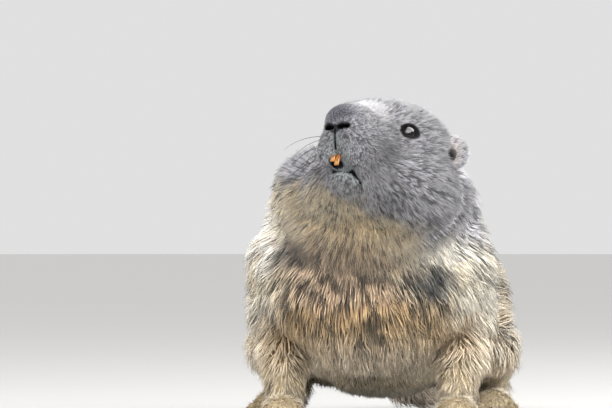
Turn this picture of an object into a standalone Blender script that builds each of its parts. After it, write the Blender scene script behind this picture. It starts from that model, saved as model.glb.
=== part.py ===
"""A still model of an adult alpine marmot on all fours, chest raised and head turned a little to its right.

The animal faces -Y, its left side is +X, and the floor is z = 0. Sizes below are in millimetres and become
metres once, in to_metres. The body is one smooth union of rounded masses, parted by thin cuts into named
pieces, and tapered locks of its coat are then joined to neck, torso, legs and tail.
"""

import bmesh
import bpy
import numpy as np
from itertools import product
from math import pi, radians, sin
from mathutils import Matrix, Vector
from mathutils.bvhtree import BVHTree

MM = 0.001
GAP = 0.3               # clearance between pieces that touch
SLIVERS = (0.02, 0.01, 0.004, 0.0005)     # edges shorter than the first of these that leaves it closed go

# Driving sizes of the animal
SHOULDER_HALF_WIDTH = 68
BELLY_HALF_WIDTH = 68
HAUNCH_HALF_WIDTH = 76
WITHERS_HEIGHT = 170
BELLY_CLEARANCE = 16
ELBOW_HEIGHT = 68
WRIST_HEIGHT = 22
FOREFOOT_Y = -18
HINDFOOT_LENGTH = 88
TAIL_ROOT_Y = 262
TAIL_LENGTH = 160
TAIL_FULLNESS = 5
HEAD_HALF_WIDTH = 47
HEAD_TURN = -21         # degrees, towards the animal's right
HEAD_RAISE = 23         # degrees, nose up
NOSTRILS = np.array([-9.0, -138.0, 182.0])
EYE_RADIUS = 7.0
LID = 1.2               # thickness of the lids over the eyeball
EYE = np.array([20.0, 42.7, 14.0])
EYE_LOOK = np.array([0.84, -0.52, 0.16])
EAR = np.array([38.0, 81.0, 20.0])
EAR_FACES = np.array([0.72, -0.68, 0.12])

# Planes that part the pieces, a point and a normal that points back: the head's in its own frame
HEAD_CUT = ((0, 98, 20), (0, 0.85, -0.527))
NECK_CUT = ((0, 22, 172), (0, 0.738, -0.68))
TAIL_CUT = ((0, TAIL_ROOT_Y - 4, 60), (0, 0.88, -0.47))
# The boxes that hold the feet, across from the middle and from front to back
FOOT_SPAN = (30.0, 95.0)
FOREFOOT_SPAN = (-80.0, 45.0)
HINDFOOT_SPAN = (90.0, 230.0)
# Centres and radii of the eggs that part the legs from the torso
LEG_CUTS = (("foreleg", (58, 8, 76), (27, 46, 80)), ("thigh", (60, 165, 64), (36, 72, 66)))

# Coat: the masses reach the tips of the hair, and a core within them carries the locks
COAT_DEPTH = 8.0        # from the core out to the masses' surface where the hair is long
COAT_REACHES = (70, 128)    # distances from the nostrils at which the long coat begins and is full
COAT_HEIGHTS = (24, 58)     # heights over the feet at which it begins and is full
COAT_ON_TAIL = 12.0     # it is full this far behind the tail's root, also where it is low
LOCK_LENGTH = 52.0
LOCK_HALF_WIDTH = 12.0
LOCK_THICKNESS = 2.8
LOCK_ROOT = 3.5         # how far a root is sunk in the core
LOCK_LEAST_RISE = 4.0   # a tip's height over the core where the coat is short
LOCK_TIP = 1.0          # how far a tip stands out of the masses' surface
LOCK_RISING = 0.6       # how soon a lock rises: its height grows by this power of the share of its length
LOCK_ROWS_FROM = 80.0   # from the nostrils to the first row, and from row to row
LOCK_ROW_PITCH = 28.0
LOCK_SPACING = 24.0     # from lock to lock along a row
LOCK_SEED = 7
LOCK_LENGTHS = (0.88, 1.1)  # shortest and longest, as shares of the length
LOCK_BEND = 3.0         # how far a tip may bend aside
LOCK_STEPS = 4          # steps along the core between two stations of a lock
LOCK_RETREATS = (0.0, 8.0, 16.0)    # a root may move this far towards the nose to keep its lock clear
LOCK_CLEARANCE = 0.3    # beyond the gap, from other nodes
LOCK_OFF_FLOOR = 1.5
RUFF_REACH = 175.0      # from the nostrils to the end of the ruff, whose locks are smaller
RUFF_LOCK_SIZE = 0.9
TAIL_LOCK_SIZE = 0.78
TAIL_OVERLAP = 12.0     # how far before the tail's root its smaller locks begin
TAIL_BARE_END = 20.0    # the tail's last stretch is all tip
LOWEST_ROOT = 40.0      # locks are rooted above this height, and on the tail above the next
LOWEST_TAIL_ROOT = 10.0
LEAST_OUTWARD_RISE = -0.62  # no lock where the skin faces further down than this
CHEEK_TOP = 150.0       # no lock on the head is rooted higher than this
ROW_DIRECTIONS = 97     # directions in which a row's line round the body is looked for
LEAST_ROW_POINTS = 8
# Along a lock: share of its length, of its half width and of its thickness
LOCK_STATIONS = ((0.0, 0.5, 1.0), (0.3, 1.0, 1.0), (0.68, 0.66, 0.8), (1.0, 0.0, 0.0))

# Fineness of the meshes: voxel edge in millimetres and triangles kept
BODY_VOXEL = 3.0
HEAD_VOXEL = 1.5
FOOT_VOXEL = 1.1
SETTLING_STEPS = 7
BODY_TRIANGLES = 2500
HEAD_TRIANGLES = 1950
FOOT_TRIANGLES = 760
CUT_SEGMENTS = 12       # round a small hollow
SOCKET_FLATTENING = 0.93    # how near its centre the coarse ball's faces come, against its radius
FINE_CUT_SEGMENTS = 16  # round the cut at an ear, a shoulder or a haunch

COLOURS = {
    "head": (0.29, 0.29, 0.31), "neck": (0.52, 0.43, 0.32), "torso": (0.45, 0.38, 0.30),
    "leg": (0.50, 0.40, 0.28), "foot": (0.42, 0.34, 0.25), "tail": (0.16, 0.12, 0.09),
    "ear": (0.36, 0.33, 0.31), "eye": (0.012, 0.010, 0.010), "tooth": (0.72, 0.36, 0.06),
}


# Rounded masses and their smooth union

def unit(vector):
    vector = np.asarray(vector, float)
    return vector / np.linalg.norm(vector)


def turn_matrix(turn_deg, raise_deg):
    """Axes of something that faces -Y, raised nose up and then turned about Z, as columns."""
    turned = Matrix.Rotation(radians(turn_deg), 3, "Z") @ Matrix.Rotation(radians(-raise_deg), 3, "X")
    return np.array(turned)


HEAD_AXES = turn_matrix(HEAD_TURN, HEAD_RAISE)


def facing_axes(normal, up=(0, 0, 1)):
    """Axes whose first column looks along normal and whose third is as near up as it can be."""
    first = unit(normal)
    second = unit(np.cross(up, first))
    return np.column_stack([first, second, np.cross(first, second)])


def on_head(point):
    """A point of the head's own frame, nostrils at its origin, in the body's frame."""
    return NOSTRILS + HEAD_AXES @ np.asarray(point, float)


def mass(centre, radii, blend=8.0, axes=None, coat=1.0):
    axes = np.eye(3) if axes is None else axes
    return {"kind": "mass", "centre": np.asarray(centre, float), "radii": np.asarray(radii, float),
            "axes": axes, "blend": blend, "coat": coat}


def head_mass(centre, radii, blend=8.0, axes=None, coat=1.0):
    axes = np.eye(3) if axes is None else axes
    return mass(on_head(centre), radii, blend, HEAD_AXES @ axes, coat)


def limb(start, end, start_radius, end_radius, blend=10.0):
    return {"kind": "limb", "start": np.asarray(start, float), "end": np.asarray(end, float),
            "radii": (start_radius, end_radius), "blend": blend, "coat": 1.0}


def mirrored(point, side):
    return np.array([point[0] * side, point[1], point[2]])


def distance_to(item, points):
    """Approximate distance from points to the surface of a mass, negative inside."""
    if item["kind"] == "mass":
        local = (points - item["centre"]) @ item["axes"]
        scaled = np.linalg.norm(local / item["radii"], axis=1)
        steep = np.linalg.norm(local / item["radii"] ** 2, axis=1)
        return scaled * (scaled - 1.0) / np.maximum(steep, 1e-9)
    along = item["end"] - item["start"]
    share = np.clip((points - item["start"]) @ along / (along @ along), 0, 1)
    nearest = item["start"] + share[:, None] * along
    first, last = item["radii"]
    return np.linalg.norm(points - nearest, axis=1) - (first + (last - first) * share)


def soft_minimum(a, b, blend):
    nearness = np.clip(1.0 - np.abs(a - b) / blend, 0, 1)
    return np.minimum(a, b) - nearness ** 2 * blend * 0.25


def ramp(value, start, end):
    share = np.clip((value - start) / (end - start), 0, 1)
    return share * share * (3 - 2 * share)


def coat_depth(points):
    """How far the core lies inside the masses: nothing on face and feet, most on neck, body and tail."""
    from_nose = np.linalg.norm(points - NOSTRILS, axis=1)
    on_tail = ramp(points[:, 1], TAIL_ROOT_Y - COAT_ON_TAIL, TAIL_ROOT_Y + COAT_ON_TAIL)
    above_feet = np.maximum(ramp(points[:, 2], *COAT_HEIGHTS), on_tail)
    return COAT_DEPTH * ramp(from_nose, *COAT_REACHES) * above_feet


def distance(items, points, core=False):
    """Distance to the smooth union of items, or to the core within it."""
    depth = coat_depth(points) if core else 0.0
    result = distance_to(items[0], points) + depth * items[0]["coat"]
    for item in items[1:]:
        result = soft_minimum(result, distance_to(item, points) + depth * item["coat"], item["blend"])
    return result


def slope(items, points, step=0.15, core=False):
    """Unit outward direction of the surface near points."""
    total = np.zeros_like(points)
    for corner in ((1, -1, -1), (-1, -1, 1), (-1, 1, -1), (1, 1, 1)):
        way = np.array(corner, float)
        total += way * distance(items, points + way * step, core)[:, None]
    return total / np.maximum(np.linalg.norm(total, axis=1), 1e-9)[:, None]


# The animal's masses

def head_masses():
    """Skull, muzzle, cheeks, lids and ears, in the head's own frame."""
    ear_axes = [facing_axes(mirrored(EAR_FACES, side)) for side in (1, -1)]
    items = [
        head_mass((0, 68, 11), (38, 40, 33)),
        head_mass((0, 43, 13), (22.5, 27, 22), 10),
        head_mass((0, 27, 7), (18.5, 24, 18), 8),
        head_mass((0, 30, -9), (20, 22, 16), 8),
        head_mass((0, 13, 0.5), (15.5, 18, 17.5), 6),
        head_mass((0, 2, 6.5), (11.5, 8.5, 9), 5),
        head_mass((0, 20.5, -26.5), (11.5, 13.5, 7), 3),
        head_mass((0, 42, -18), (25, 27, 15), 8),
        head_mass((0, 60, -12), (34, 33, 21), 10),
    ]
    for side, axes in zip((1, -1), ear_axes):
        items += [
            head_mass(mirrored((8.5, 14, -10.5), side), (9.5, 15, 13.5), 4),
            head_mass(mirrored((24, 64, -13), side), (HEAD_HALF_WIDTH - 24, 28, 22), 10),
            head_mass(mirrored((15, 43, 23), side), (11, 15, 10), 5),
            head_mass(mirrored(EYE, side), (EYE_RADIUS + LID,) * 3, 2.5),
            head_mass(mirrored(EAR, side), (4.4, 8.8, 11.0), 3, axes, coat=0.0),
        ]
    return items


def head_hollows():
    """Nostrils, the split of the upper lip, the mouth's line and the openings between the lids."""
    mouth_axes = np.array(Matrix.Rotation(radians(-34), 3, "X"))
    hollows = [
        head_mass((0, -6, -11), (0.9, 4.5, 9)),
        head_mass((0, 2.5, -22), (3.9, 8, 4.2)),
        head_mass((0, 12, -26.5), (14.5, 13, 1.1), 1, mouth_axes),
    ]
    for side in (1, -1):
        look = mirrored(EYE_LOOK, side)
        nostril_axes = np.array(Matrix.Rotation(radians(-18 * side), 3, "Y"))
        opening = mirrored(EYE, side) + unit(look) * (EYE_RADIUS + LID)
        hollows += [
            head_mass(mirrored((5.8, -6.5, -1), side), (3.9, 4.5, 2.1), 1, nostril_axes),
            head_mass(opening, (5.0, 6.6, 4.7), 1, facing_axes(look)),
        ]
    return hollows


def ear_cup(side):
    """The hollow in the front of one ear."""
    faces = mirrored(EAR_FACES, side)
    return head_mass(mirrored(EAR, side) + unit(faces) * 4.4, (5.0, 6.2, 8.2), 1, facing_axes(faces))


def neck_masses():
    """Neck, the ruff of long hair round it and the throat below the jaw."""
    return [
        limb((17, -60, 141), (2, -8, 116), 36, 54, 16),
        head_mass((0, 93, -8), (46, 24, 32), 12),
        mass((3, -38, 132), (59, 39, 39), 14),
        mass((2, -60, 118), (45, 34, 29), 12),
    ]


def foreleg_masses(side):
    elbow = mirrored((57, 22, ELBOW_HEIGHT), side)
    wrist = mirrored((53, -2, WRIST_HEIGHT), side)
    return [
        mass(mirrored((SHOULDER_HALF_WIDTH - 25, -2, 100), side), (25, 40, 45), 14),
        limb(mirrored((50, -2, 100), side), elbow, 25, 20, 10),
        limb(elbow, wrist, 19, 11.5, 8),
    ]


def hindleg_masses(side):
    knee = mirrored((66, 124, 50), side)
    ankle = mirrored((63, 196, 21), side)
    return [
        mass(mirrored((HAUNCH_HALF_WIDTH - 34, 170, 71), side), (34, 58, 48), 16),
        limb(mirrored((48, 160, 72), side), knee, 31, 20, 12),
        limb(knee, ankle, 19, 12, 8),
    ]


def trunk_masses():
    belly_half_height = 76
    return [
        mass((0, 112, BELLY_CLEARANCE + belly_half_height), (BELLY_HALF_WIDTH, 104, belly_half_height)),
        mass((0, -4, 92), (57, 62, 58), 24),
        mass((0, 34, WITHERS_HEIGHT - 36), (43, 74, 35), 20),
        mass((0, 204, 82), (63, 68, 64), 24),
    ]


def tail_masses():
    """The tail droops from the rump and lies on the floor, curling a little to the left."""
    stations = []
    for share in np.linspace(0, 1, 9):
        radius = 23 + TAIL_FULLNESS * sin(pi * share) - 13 * share ** 4
        height = max(radius + 1.5, 62 - 95 * share)
        place = np.array([58 * share ** 2, TAIL_ROOT_Y - 6 + TAIL_LENGTH * share, height])
        stations.append((place, radius))
    return [limb(place, after, radius, after_radius, 12 if place[1] < TAIL_ROOT_Y else 2)
            for (place, radius), (after, after_radius) in zip(stations, stations[1:])]


def foot_masses(side, fore):
    """Palm or sole, toes and claws of one foot, resting on the floor."""
    if fore:
        palm = [mass(mirrored((53, FOREFOOT_Y, 9.5), side), (13, 20, 10), 5)]
        toes, toe_radius, first_x, spread, toe_y, reach = 4, 4.7, 43.5, 6.4, -28, 17
    else:
        heel, ball = mirrored((63, 196, 11), side), mirrored((69, 196 - HINDFOOT_LENGTH + 24, 8.5), side)
        palm = [limb(heel, ball, 10, 10, 4),
                mass(ball + np.array([0, 4, 0]), (14.5, 20, 9), 5)]
        toes, toe_radius, first_x, spread, toe_y, reach = 5, 4.4, 57.5, 5.9, 126, 17
    items = []
    for toe in range(toes):
        from_middle = toe - (toes - 1) / 2
        shorter = abs(from_middle) * 2.2
        x = first_x + spread * toe
        root = mirrored((x, toe_y, 7.0), side)
        tip = mirrored((x + from_middle * 1.4, toe_y - reach + shorter, 4.4), side)
        items.append(limb(root, tip, toe_radius + 0.6, toe_radius - 0.3, 1.2))
        claw_root = tip + np.array([0, -2.0, 1.2])
        claw_bend = claw_root + np.array([0, -7.0, 0.2])
        claw_tip = claw_bend + np.array([0, -4.5, -3.6])
        items.append(limb(claw_root, claw_bend, 2.3, 1.7, 0.8))
        items.append(limb(claw_bend, claw_tip, 1.7, 0.7, 0.5))
    return palm, items


# From masses to a mesh

def mesh_object(name, mesh, collection):
    made = bpy.data.objects.new(name, mesh)
    collection.objects.link(made)
    return made


def shaped_mesh(made):
    """What an object's modifiers make of its mesh."""
    bpy.context.view_layer.update()
    shaped = made.evaluated_get(bpy.context.evaluated_depsgraph_get())
    return bpy.data.meshes.new_from_object(shaped)


def bake(made, mesh=None):
    """Replaces an object's mesh by what its modifiers make of it."""
    mesh = mesh or shaped_mesh(made)
    made.modifiers.clear()
    old = made.data
    made.data = mesh
    bpy.data.meshes.remove(old)


def ball_for(shape, item, grow=0.0, segments=24):
    """Adds the ellipsoid of a mass, or the balls along a limb, to the bmesh."""
    if item["kind"] == "mass":
        placed = Matrix(item["axes"]).to_4x4()
        placed.translation = Vector(item["centre"])
        scale = Matrix.Diagonal(Vector((*(item["radii"] + grow), 1.0)))
        bmesh.ops.create_uvsphere(shape, u_segments=segments, v_segments=segments * 7 // 12, radius=1.0,
                                  matrix=placed @ scale)
        return
    first, last = item["radii"]
    length = np.linalg.norm(item["end"] - item["start"])
    count = max(3, int(length / min(first, last) * 2) + 1)
    for share in np.linspace(0, 1, count):
        centre = item["start"] + share * (item["end"] - item["start"])
        bmesh.ops.create_icosphere(shape, subdivisions=2, radius=first + (last - first) * share + grow,
                                   matrix=Matrix.Translation(Vector(centre)))


def moulded(name, items, voxel, triangles, collection):
    """One closed skin over the masses: their balls remeshed, drawn onto the smooth union and thinned."""
    shape = bmesh.new()
    for item in items:
        ball_for(shape, item)
    mesh = bpy.data.meshes.new(name)
    shape.to_mesh(mesh)
    shape.free()
    made = mesh_object(name, mesh, collection)
    remesh = made.modifiers.new("fuse", "REMESH")
    remesh.mode = "VOXEL"
    remesh.voxel_size = voxel
    bake(made)
    points = np.empty(len(made.data.vertices) * 3)
    made.data.vertices.foreach_get("co", points)
    points = points.reshape(-1, 3)
    for _ in range(SETTLING_STEPS):
        away = distance(items, points, core=True)
        points -= slope(items, points, core=True) * np.clip(away, -2 * voxel, 2 * voxel)[:, None]
    made.data.vertices.foreach_set("co", points.ravel())
    made.data.update()
    thin = made.modifiers.new("thin", "DECIMATE")
    thin.ratio = triangles / (2.0 * len(made.data.polygons))
    thin.use_collapse_triangulate = True
    bake(made)
    return keep_largest(made)


def keep_largest(made):
    """Leaves an object only its largest closed surface."""
    shape = bmesh.new()
    shape.from_mesh(made.data)
    unseen = set(shape.verts)
    islands = []
    while unseen:
        front = [unseen.pop()]
        island = list(front)
        while front:
            for edge in front.pop().link_edges:
                for vertex in edge.verts:
                    if vertex in unseen:
                        unseen.remove(vertex)
                        front.append(vertex)
                        island.append(vertex)
        islands.append(island)
    islands.sort(key=len)
    for island in islands[:-1]:
        bmesh.ops.delete(shape, geom=island, context="VERTS")
    shape.to_mesh(made.data)
    shape.free()
    return made


# Cutters

def box_cutter(name, low, high, collection):
    """An upright box between two corners."""
    shape = bmesh.new()
    bmesh.ops.create_cube(shape, size=1.0)
    low, high = np.asarray(low, float), np.asarray(high, float)
    for vertex in shape.verts:
        vertex.co = Vector((low + high) / 2 + np.array(vertex.co) * (high - low))
    mesh = bpy.data.meshes.new(name)
    shape.to_mesh(mesh)
    shape.free()
    return hidden(mesh_object(name, mesh, collection))


def plane_cutter(name, point, normal, collection, size=700.0):
    """A large block whose one face passes through point, with all of it on normal's side."""
    shape = bmesh.new()
    bmesh.ops.create_cube(shape, size=size)
    mesh = bpy.data.meshes.new(name)
    shape.to_mesh(mesh)
    shape.free()
    made = hidden(mesh_object(name, mesh, collection))
    normal = unit(normal)
    placed = Matrix(facing_axes(normal, (0.1, 0.05, 1.0))).to_4x4()
    placed.translation = Vector(np.asarray(point, float) + normal * size / 2)
    made.data.transform(placed)
    return made


def mass_cutter(name, item, grow, collection):
    shape = bmesh.new()
    ball_for(shape, item, grow, FINE_CUT_SEGMENTS if max(item["radii"]) > 10 else CUT_SEGMENTS)
    mesh = bpy.data.meshes.new(name)
    shape.to_mesh(mesh)
    shape.free()
    return hidden(mesh_object(name, mesh, collection))


def hidden(made):
    made.hide_render = True
    made.display_type = "WIRE"
    return made


def is_closed(mesh):
    """True for a mesh with faces whose every edge borders two of them."""
    shape = bmesh.new()
    shape.from_mesh(mesh)
    closed = len(shape.faces) > 0 and all(edge.is_manifold for edge in shape.edges)
    shape.free()
    return closed


def boolean(made, cutter, operation):
    """A Boolean by the EXACT solver, or by MANIFOLD where EXACT leaves the mesh open or empty."""
    change = made.modifiers.new(operation.lower(), "BOOLEAN")
    change.operation = operation
    change.object = cutter
    for solver in ("EXACT", "MANIFOLD"):
        change.solver = solver
        mesh = shaped_mesh(made)
        if is_closed(mesh):
            break
    bake(made, mesh)
    return made


def copy_of(made, name, collection):
    return mesh_object(name, made.data.copy(), collection)


def part_off(body, name, cutter, wider_cutter, collection):
    """Cuts the piece inside cutter out of body, which also loses the gap round it."""
    piece = copy_of(body, name, collection)
    boolean(piece, cutter, "INTERSECT")
    boolean(body, wider_cutter, "DIFFERENCE")
    keep_largest(body)
    return keep_largest(piece)


# The pieces

def make_head(parts, cutters):
    """Head with its ears parted off and its eyes and incisors set in."""
    head = moulded("head", head_masses() + neck_masses(), HEAD_VOXEL, HEAD_TRIANGLES, parts)
    boolean(head, plane_cutter("behind_head", *head_cut(0.0), cutters), "DIFFERENCE")
    keep_largest(head)
    for number, hollow in enumerate(head_hollows()):
        boolean(head, mass_cutter(f"hollow_{number}", hollow, 0.0, cutters), "DIFFERENCE")
    pieces = [head]
    for side, word in ((1, "left"), (-1, "right")):
        eye_place = on_head(mirrored(EYE, side))
        socket_radius = (EYE_RADIUS + GAP) / SOCKET_FLATTENING
        boolean(head, hidden(ball(f"{word}_socket", eye_place, socket_radius, 2, cutters)), "DIFFERENCE")
        eye = ball(f"eye_{word}", eye_place, EYE_RADIUS, 3, parts)
        ear_region = head_mass(mirrored(EAR + np.array([2.0, 1.0, 1.0]), side), (9.0, 11.5, 13.5), 1,
                               facing_axes(mirrored(EAR_FACES, side)))
        ear = part_off(head, f"ear_{word}", mass_cutter(f"ear_cut_{word}", ear_region, 0.0, cutters),
                       mass_cutter(f"ear_gap_{word}", ear_region, GAP, cutters), parts)
        boolean(ear, mass_cutter(f"ear_cup_{word}", ear_cup(side), 0.0, cutters), "DIFFERENCE")
        keep_largest(ear)
        tooth = incisor(f"incisor_{word}", side, 0.0, parts)
        boolean(head, hidden(incisor(f"tooth_socket_{word}", side, GAP, cutters)), "DIFFERENCE")
        pieces += [eye, ear, tooth]
    keep_largest(head)
    return pieces


def head_cut(shift):
    """Point and normal of the plane behind the jaw and ears, moved back by shift."""
    normal = HEAD_AXES @ unit(HEAD_CUT[1])
    return on_head(HEAD_CUT[0]) + normal * shift, normal


def neck_cut(shift):
    normal = unit(NECK_CUT[1])
    return np.array(NECK_CUT[0]) + normal * shift, normal


def tail_cut(shift):
    normal = unit(TAIL_CUT[1])
    return np.array(TAIL_CUT[0]) + normal * shift, normal


def ball(name, centre, radius, fineness, collection):
    shape = bmesh.new()
    bmesh.ops.create_icosphere(shape, subdivisions=fineness, radius=radius,
                               matrix=Matrix.Translation(Vector(centre)))
    mesh = bpy.data.meshes.new(name)
    shape.to_mesh(mesh)
    shape.free()
    return mesh_object(name, mesh, collection)


def incisor(name, side, grow, collection):
    """One upper incisor: a flat bar that curves back towards its chisel edge."""
    half_width, half_depth = 1.4 + grow, 1.2 + grow
    stations = [(6.6, -12.0 + grow), (3.9, -16.0), (3.0, -20.0), (3.9, -24.0 - grow)]
    shape = bmesh.new()
    rings = []
    for place, (y, z) in enumerate(stations):
        depth = half_depth * (1.0, 1.0, 0.85, 0.35)[place] if grow == 0 else half_depth
        corners = ((-half_width, -depth), (half_width, -depth), (half_width, depth), (-half_width, depth))
        rings.append([shape.verts.new(Vector(on_head((side * 1.6 + dx, y + dy, z)))) for dx, dy in corners])
    for upper, lower in zip(rings, rings[1:]):
        for k in range(4):
            shape.faces.new((upper[k], upper[(k + 1) % 4], lower[(k + 1) % 4], lower[k]))
    shape.faces.new(rings[0])
    shape.faces.new(rings[-1])
    bmesh.ops.recalc_face_normals(shape, faces=shape.faces[:])
    mesh = bpy.data.meshes.new(name)
    shape.to_mesh(mesh)
    shape.free()
    return mesh_object(name, mesh, collection)


def make_feet(parts, cutters):
    """The four feet, moulded finely because of their toes and claws."""
    feet = []
    for side, word in ((1, "left"), (-1, "right")):
        for fore in (True, False):
            palm, toes = foot_masses(side, fore)
            legs = foreleg_masses(side)[1:] if fore else hindleg_masses(side)[1:]
            name = f"{'forefoot' if fore else 'hindfoot'}_{word}"
            foot = moulded(name, legs + palm + toes, FOOT_VOXEL, FOOT_TRIANGLES, parts)
            boolean(foot, box_cutter(f"{name}_keep", *foot_box(side, fore, 0.0), cutters), "INTERSECT")
            feet.append(keep_largest(foot))
    return feet


def foot_box(side, fore, grow):
    """The box from the floor up to the wrist or ankle that holds one foot."""
    top = WRIST_HEIGHT + 1.0
    front, back = FOREFOOT_SPAN if fore else HINDFOOT_SPAN
    xs = sorted((FOOT_SPAN[0] * side, FOOT_SPAN[1] * side))
    return (xs[0], front, 0.0 - grow * 100), (xs[1], back, top + grow)


def body_masses():
    """Every mass of the animal but its toes."""
    items = trunk_masses() + neck_masses() + head_masses() + tail_masses()
    for side in (1, -1):
        for fore in (True, False):
            items += (foreleg_masses(side) if fore else hindleg_masses(side)) + foot_masses(side, fore)[0]
    return items


def make_body(parts, cutters):
    """Neck, torso, legs and tail, parted from one skin."""
    items = body_masses()
    body = moulded("torso", items, BODY_VOXEL, BODY_TRIANGLES, parts)
    boolean(body, box_cutter("above_floor", (-400, -400, 0), (400, 600, 400), cutters), "INTERSECT")
    boolean(body, plane_cutter("from_neck_back", *head_cut(GAP), cutters), "INTERSECT")
    keep_largest(body)
    pieces = []
    for side in (1, -1):
        for fore in (True, False):
            boolean(body, box_cutter("foot_gap", *foot_box(side, fore, GAP), cutters), "DIFFERENCE")
    keep_largest(body)
    point, normal = neck_cut(0.0)
    pieces.append(part_off(body, "neck", plane_cutter("neck_side", point, -normal, cutters),
                           plane_cutter("neck_gap", neck_cut(GAP)[0], -normal, cutters), parts))
    point, normal = tail_cut(0.0)
    pieces.append(part_off(body, "tail", plane_cutter("tail_side", point, normal, cutters),
                           plane_cutter("tail_gap", tail_cut(-GAP)[0], normal, cutters), parts))
    for side, word in ((1, "left"), (-1, "right")):
        for name, centre, radii in LEG_CUTS:
            region = mass(mirrored(centre, side), radii)
            cut = mass_cutter(f"{name}_cut_{word}", region, 0.0, cutters)
            wider_cut = mass_cutter(f"{name}_gap_{word}", region, GAP, cutters)
            pieces.append(part_off(body, f"{name}_{word}", cut, wider_cut, parts))
    pieces.append(body)
    return pieces


# Locks of long hair

def lie(points):
    """The way the hair lies: away from the nose, so back along the body and down on chest and sides."""
    away = points - NOSTRILS
    return away / np.linalg.norm(away, axis=1)[:, None]


def body_axis(reach):
    """The point inside the body that is reach away from the nostrils."""
    in_tail = [item["start"] for item in tail_masses()] + [tail_masses()[-1]["end"]]
    stations = np.array([NOSTRILS, (0, 112, 96), (0, 204, 80)] + in_tail)
    for start, end in zip(stations, stations[1:]):
        if np.linalg.norm(end - NOSTRILS) >= reach:
            places = start + (end - start) * np.linspace(0, 1, 60)[:, None]
            return places[np.argmax(np.linalg.norm(places - NOSTRILS, axis=1) >= reach)]
    return stations[-1]


def row_of_roots(items, reach, spacing, first):
    """Points on the core, all reach away from the nostrils, an even spacing apart round the body."""
    inside = body_axis(reach)
    ahead = unit(inside - NOSTRILS)
    across = unit(np.cross(ahead, (0, 0, 1)))
    upward = np.cross(across, ahead)
    turns = np.linspace(0, 2 * pi, ROW_DIRECTIONS)
    openings = np.radians(np.arange(0, 100, 1.0))
    sideways = np.cos(turns)[:, None] * upward + np.sin(turns)[:, None] * across
    found = []
    for side in sideways:
        arc = NOSTRILS + reach * (np.cos(openings)[:, None] * ahead + np.sin(openings)[:, None] * side)
        away = distance(items, arc, core=True)
        outside = np.nonzero(away > 0)[0]
        if len(outside) == 0 or outside[0] == 0:
            continue
        after = outside[0]
        share = away[after - 1] / (away[after - 1] - away[after])
        found.append(arc[after - 1] + share * (arc[after] - arc[after - 1]))
    found = np.array(found)
    if len(found) < LEAST_ROW_POINTS:
        return np.empty((0, 3))
    steps = np.linalg.norm(np.diff(found, axis=0), axis=1)
    along = np.concatenate([[0], np.cumsum(steps)])
    count = max(3, int(along[-1] / spacing))
    places = (np.arange(count) + first) * along[-1] / count
    return np.column_stack([np.interp(places, along, found[:, k]) for k in range(3)])


def on_core(items, points):
    """Points near the core, drawn onto it."""
    return points - slope(items, points, core=True) * distance(items, points, core=True)[:, None]


def ways_at(items, points):
    """The ways out of the core and along the lie of the hair at points on the core."""
    out = slope(items, points, core=True)
    way = lie(points)
    way -= out * np.sum(way * out, axis=1)[:, None]
    return out, way / np.linalg.norm(way, axis=1)[:, None]


def lock_frames(items, roots, lengths, bends):
    """The place of each lock's stations, with the ways across and out there."""
    points = roots.copy()
    frames = []
    before = 0.0
    for share in [station[0] for station in LOCK_STATIONS]:
        for _ in range(LOCK_STEPS if share > before else 0):
            way = ways_at(items, points)[1]
            points = on_core(items, points + way * (lengths * (share - before) / LOCK_STEPS)[:, None])
        before = share
        out, way = ways_at(items, points)
        across = np.cross(way, out)
        rise = np.maximum(coat_depth(points), LOCK_LEAST_RISE) + LOCK_TIP + LOCK_ROOT
        height = -LOCK_ROOT + rise * share ** LOCK_RISING - distance(items, points, core=True)
        placed = points + out * height[:, None] + across * (bends * share * share)[:, None]
        frames.append((placed, across, out))
    return frames


def lock_shape(frames, number, half_width, grow=0.0):
    """Vertices and faces of one lock: a flat blade with a low ridge that tapers to its tip."""
    places = []
    for (_, width, thickness), (placed, across, out) in zip(LOCK_STATIONS[:-1], frames[:-1]):
        centre, side, up = placed[number], across[number], out[number]
        reach, rise = half_width * width + grow, LOCK_THICKNESS * thickness / 2 + grow
        places += [centre + side * reach - up * rise, centre + up * rise, centre - side * reach - up * rise]
    tip = frames[-1][0][number]
    places.append(tip + lie(tip[None])[0] * grow)
    rings = len(LOCK_STATIONS) - 1
    faces = [(2, 1, 0)]
    for ring in range(rings - 1):
        for k in range(3):
            a, b = ring * 3 + k, ring * 3 + (k + 1) % 3
            faces.append((a, b, b + 3, a + 3))
    last = (rings - 1) * 3
    faces += [(last + k, last + (k + 1) % 3, rings * 3) for k in range(3)]
    return [Vector(place) for place in places], faces


def node_at(point):
    """Which node carries a lock rooted at point."""
    side = "left" if point[0] > 0 else "right"
    for (place, normal), name in ((head_cut(0.0), "head"), (neck_cut(0.0), "neck")):
        if (point - place) @ normal < 0:
            return name
    place, normal = tail_cut(0.0)
    if (point - place) @ normal > 0 and point[1] > TAIL_ROOT_Y - 20:
        return "tail"
    for name, centre, radii in LEG_CUTS:
        away = (np.array([abs(point[0]), point[1], point[2]]) - np.array(centre)) / np.array(radii)
        if np.linalg.norm(away) < 1:
            return f"{name}_{side}"
    return "torso"


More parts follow.
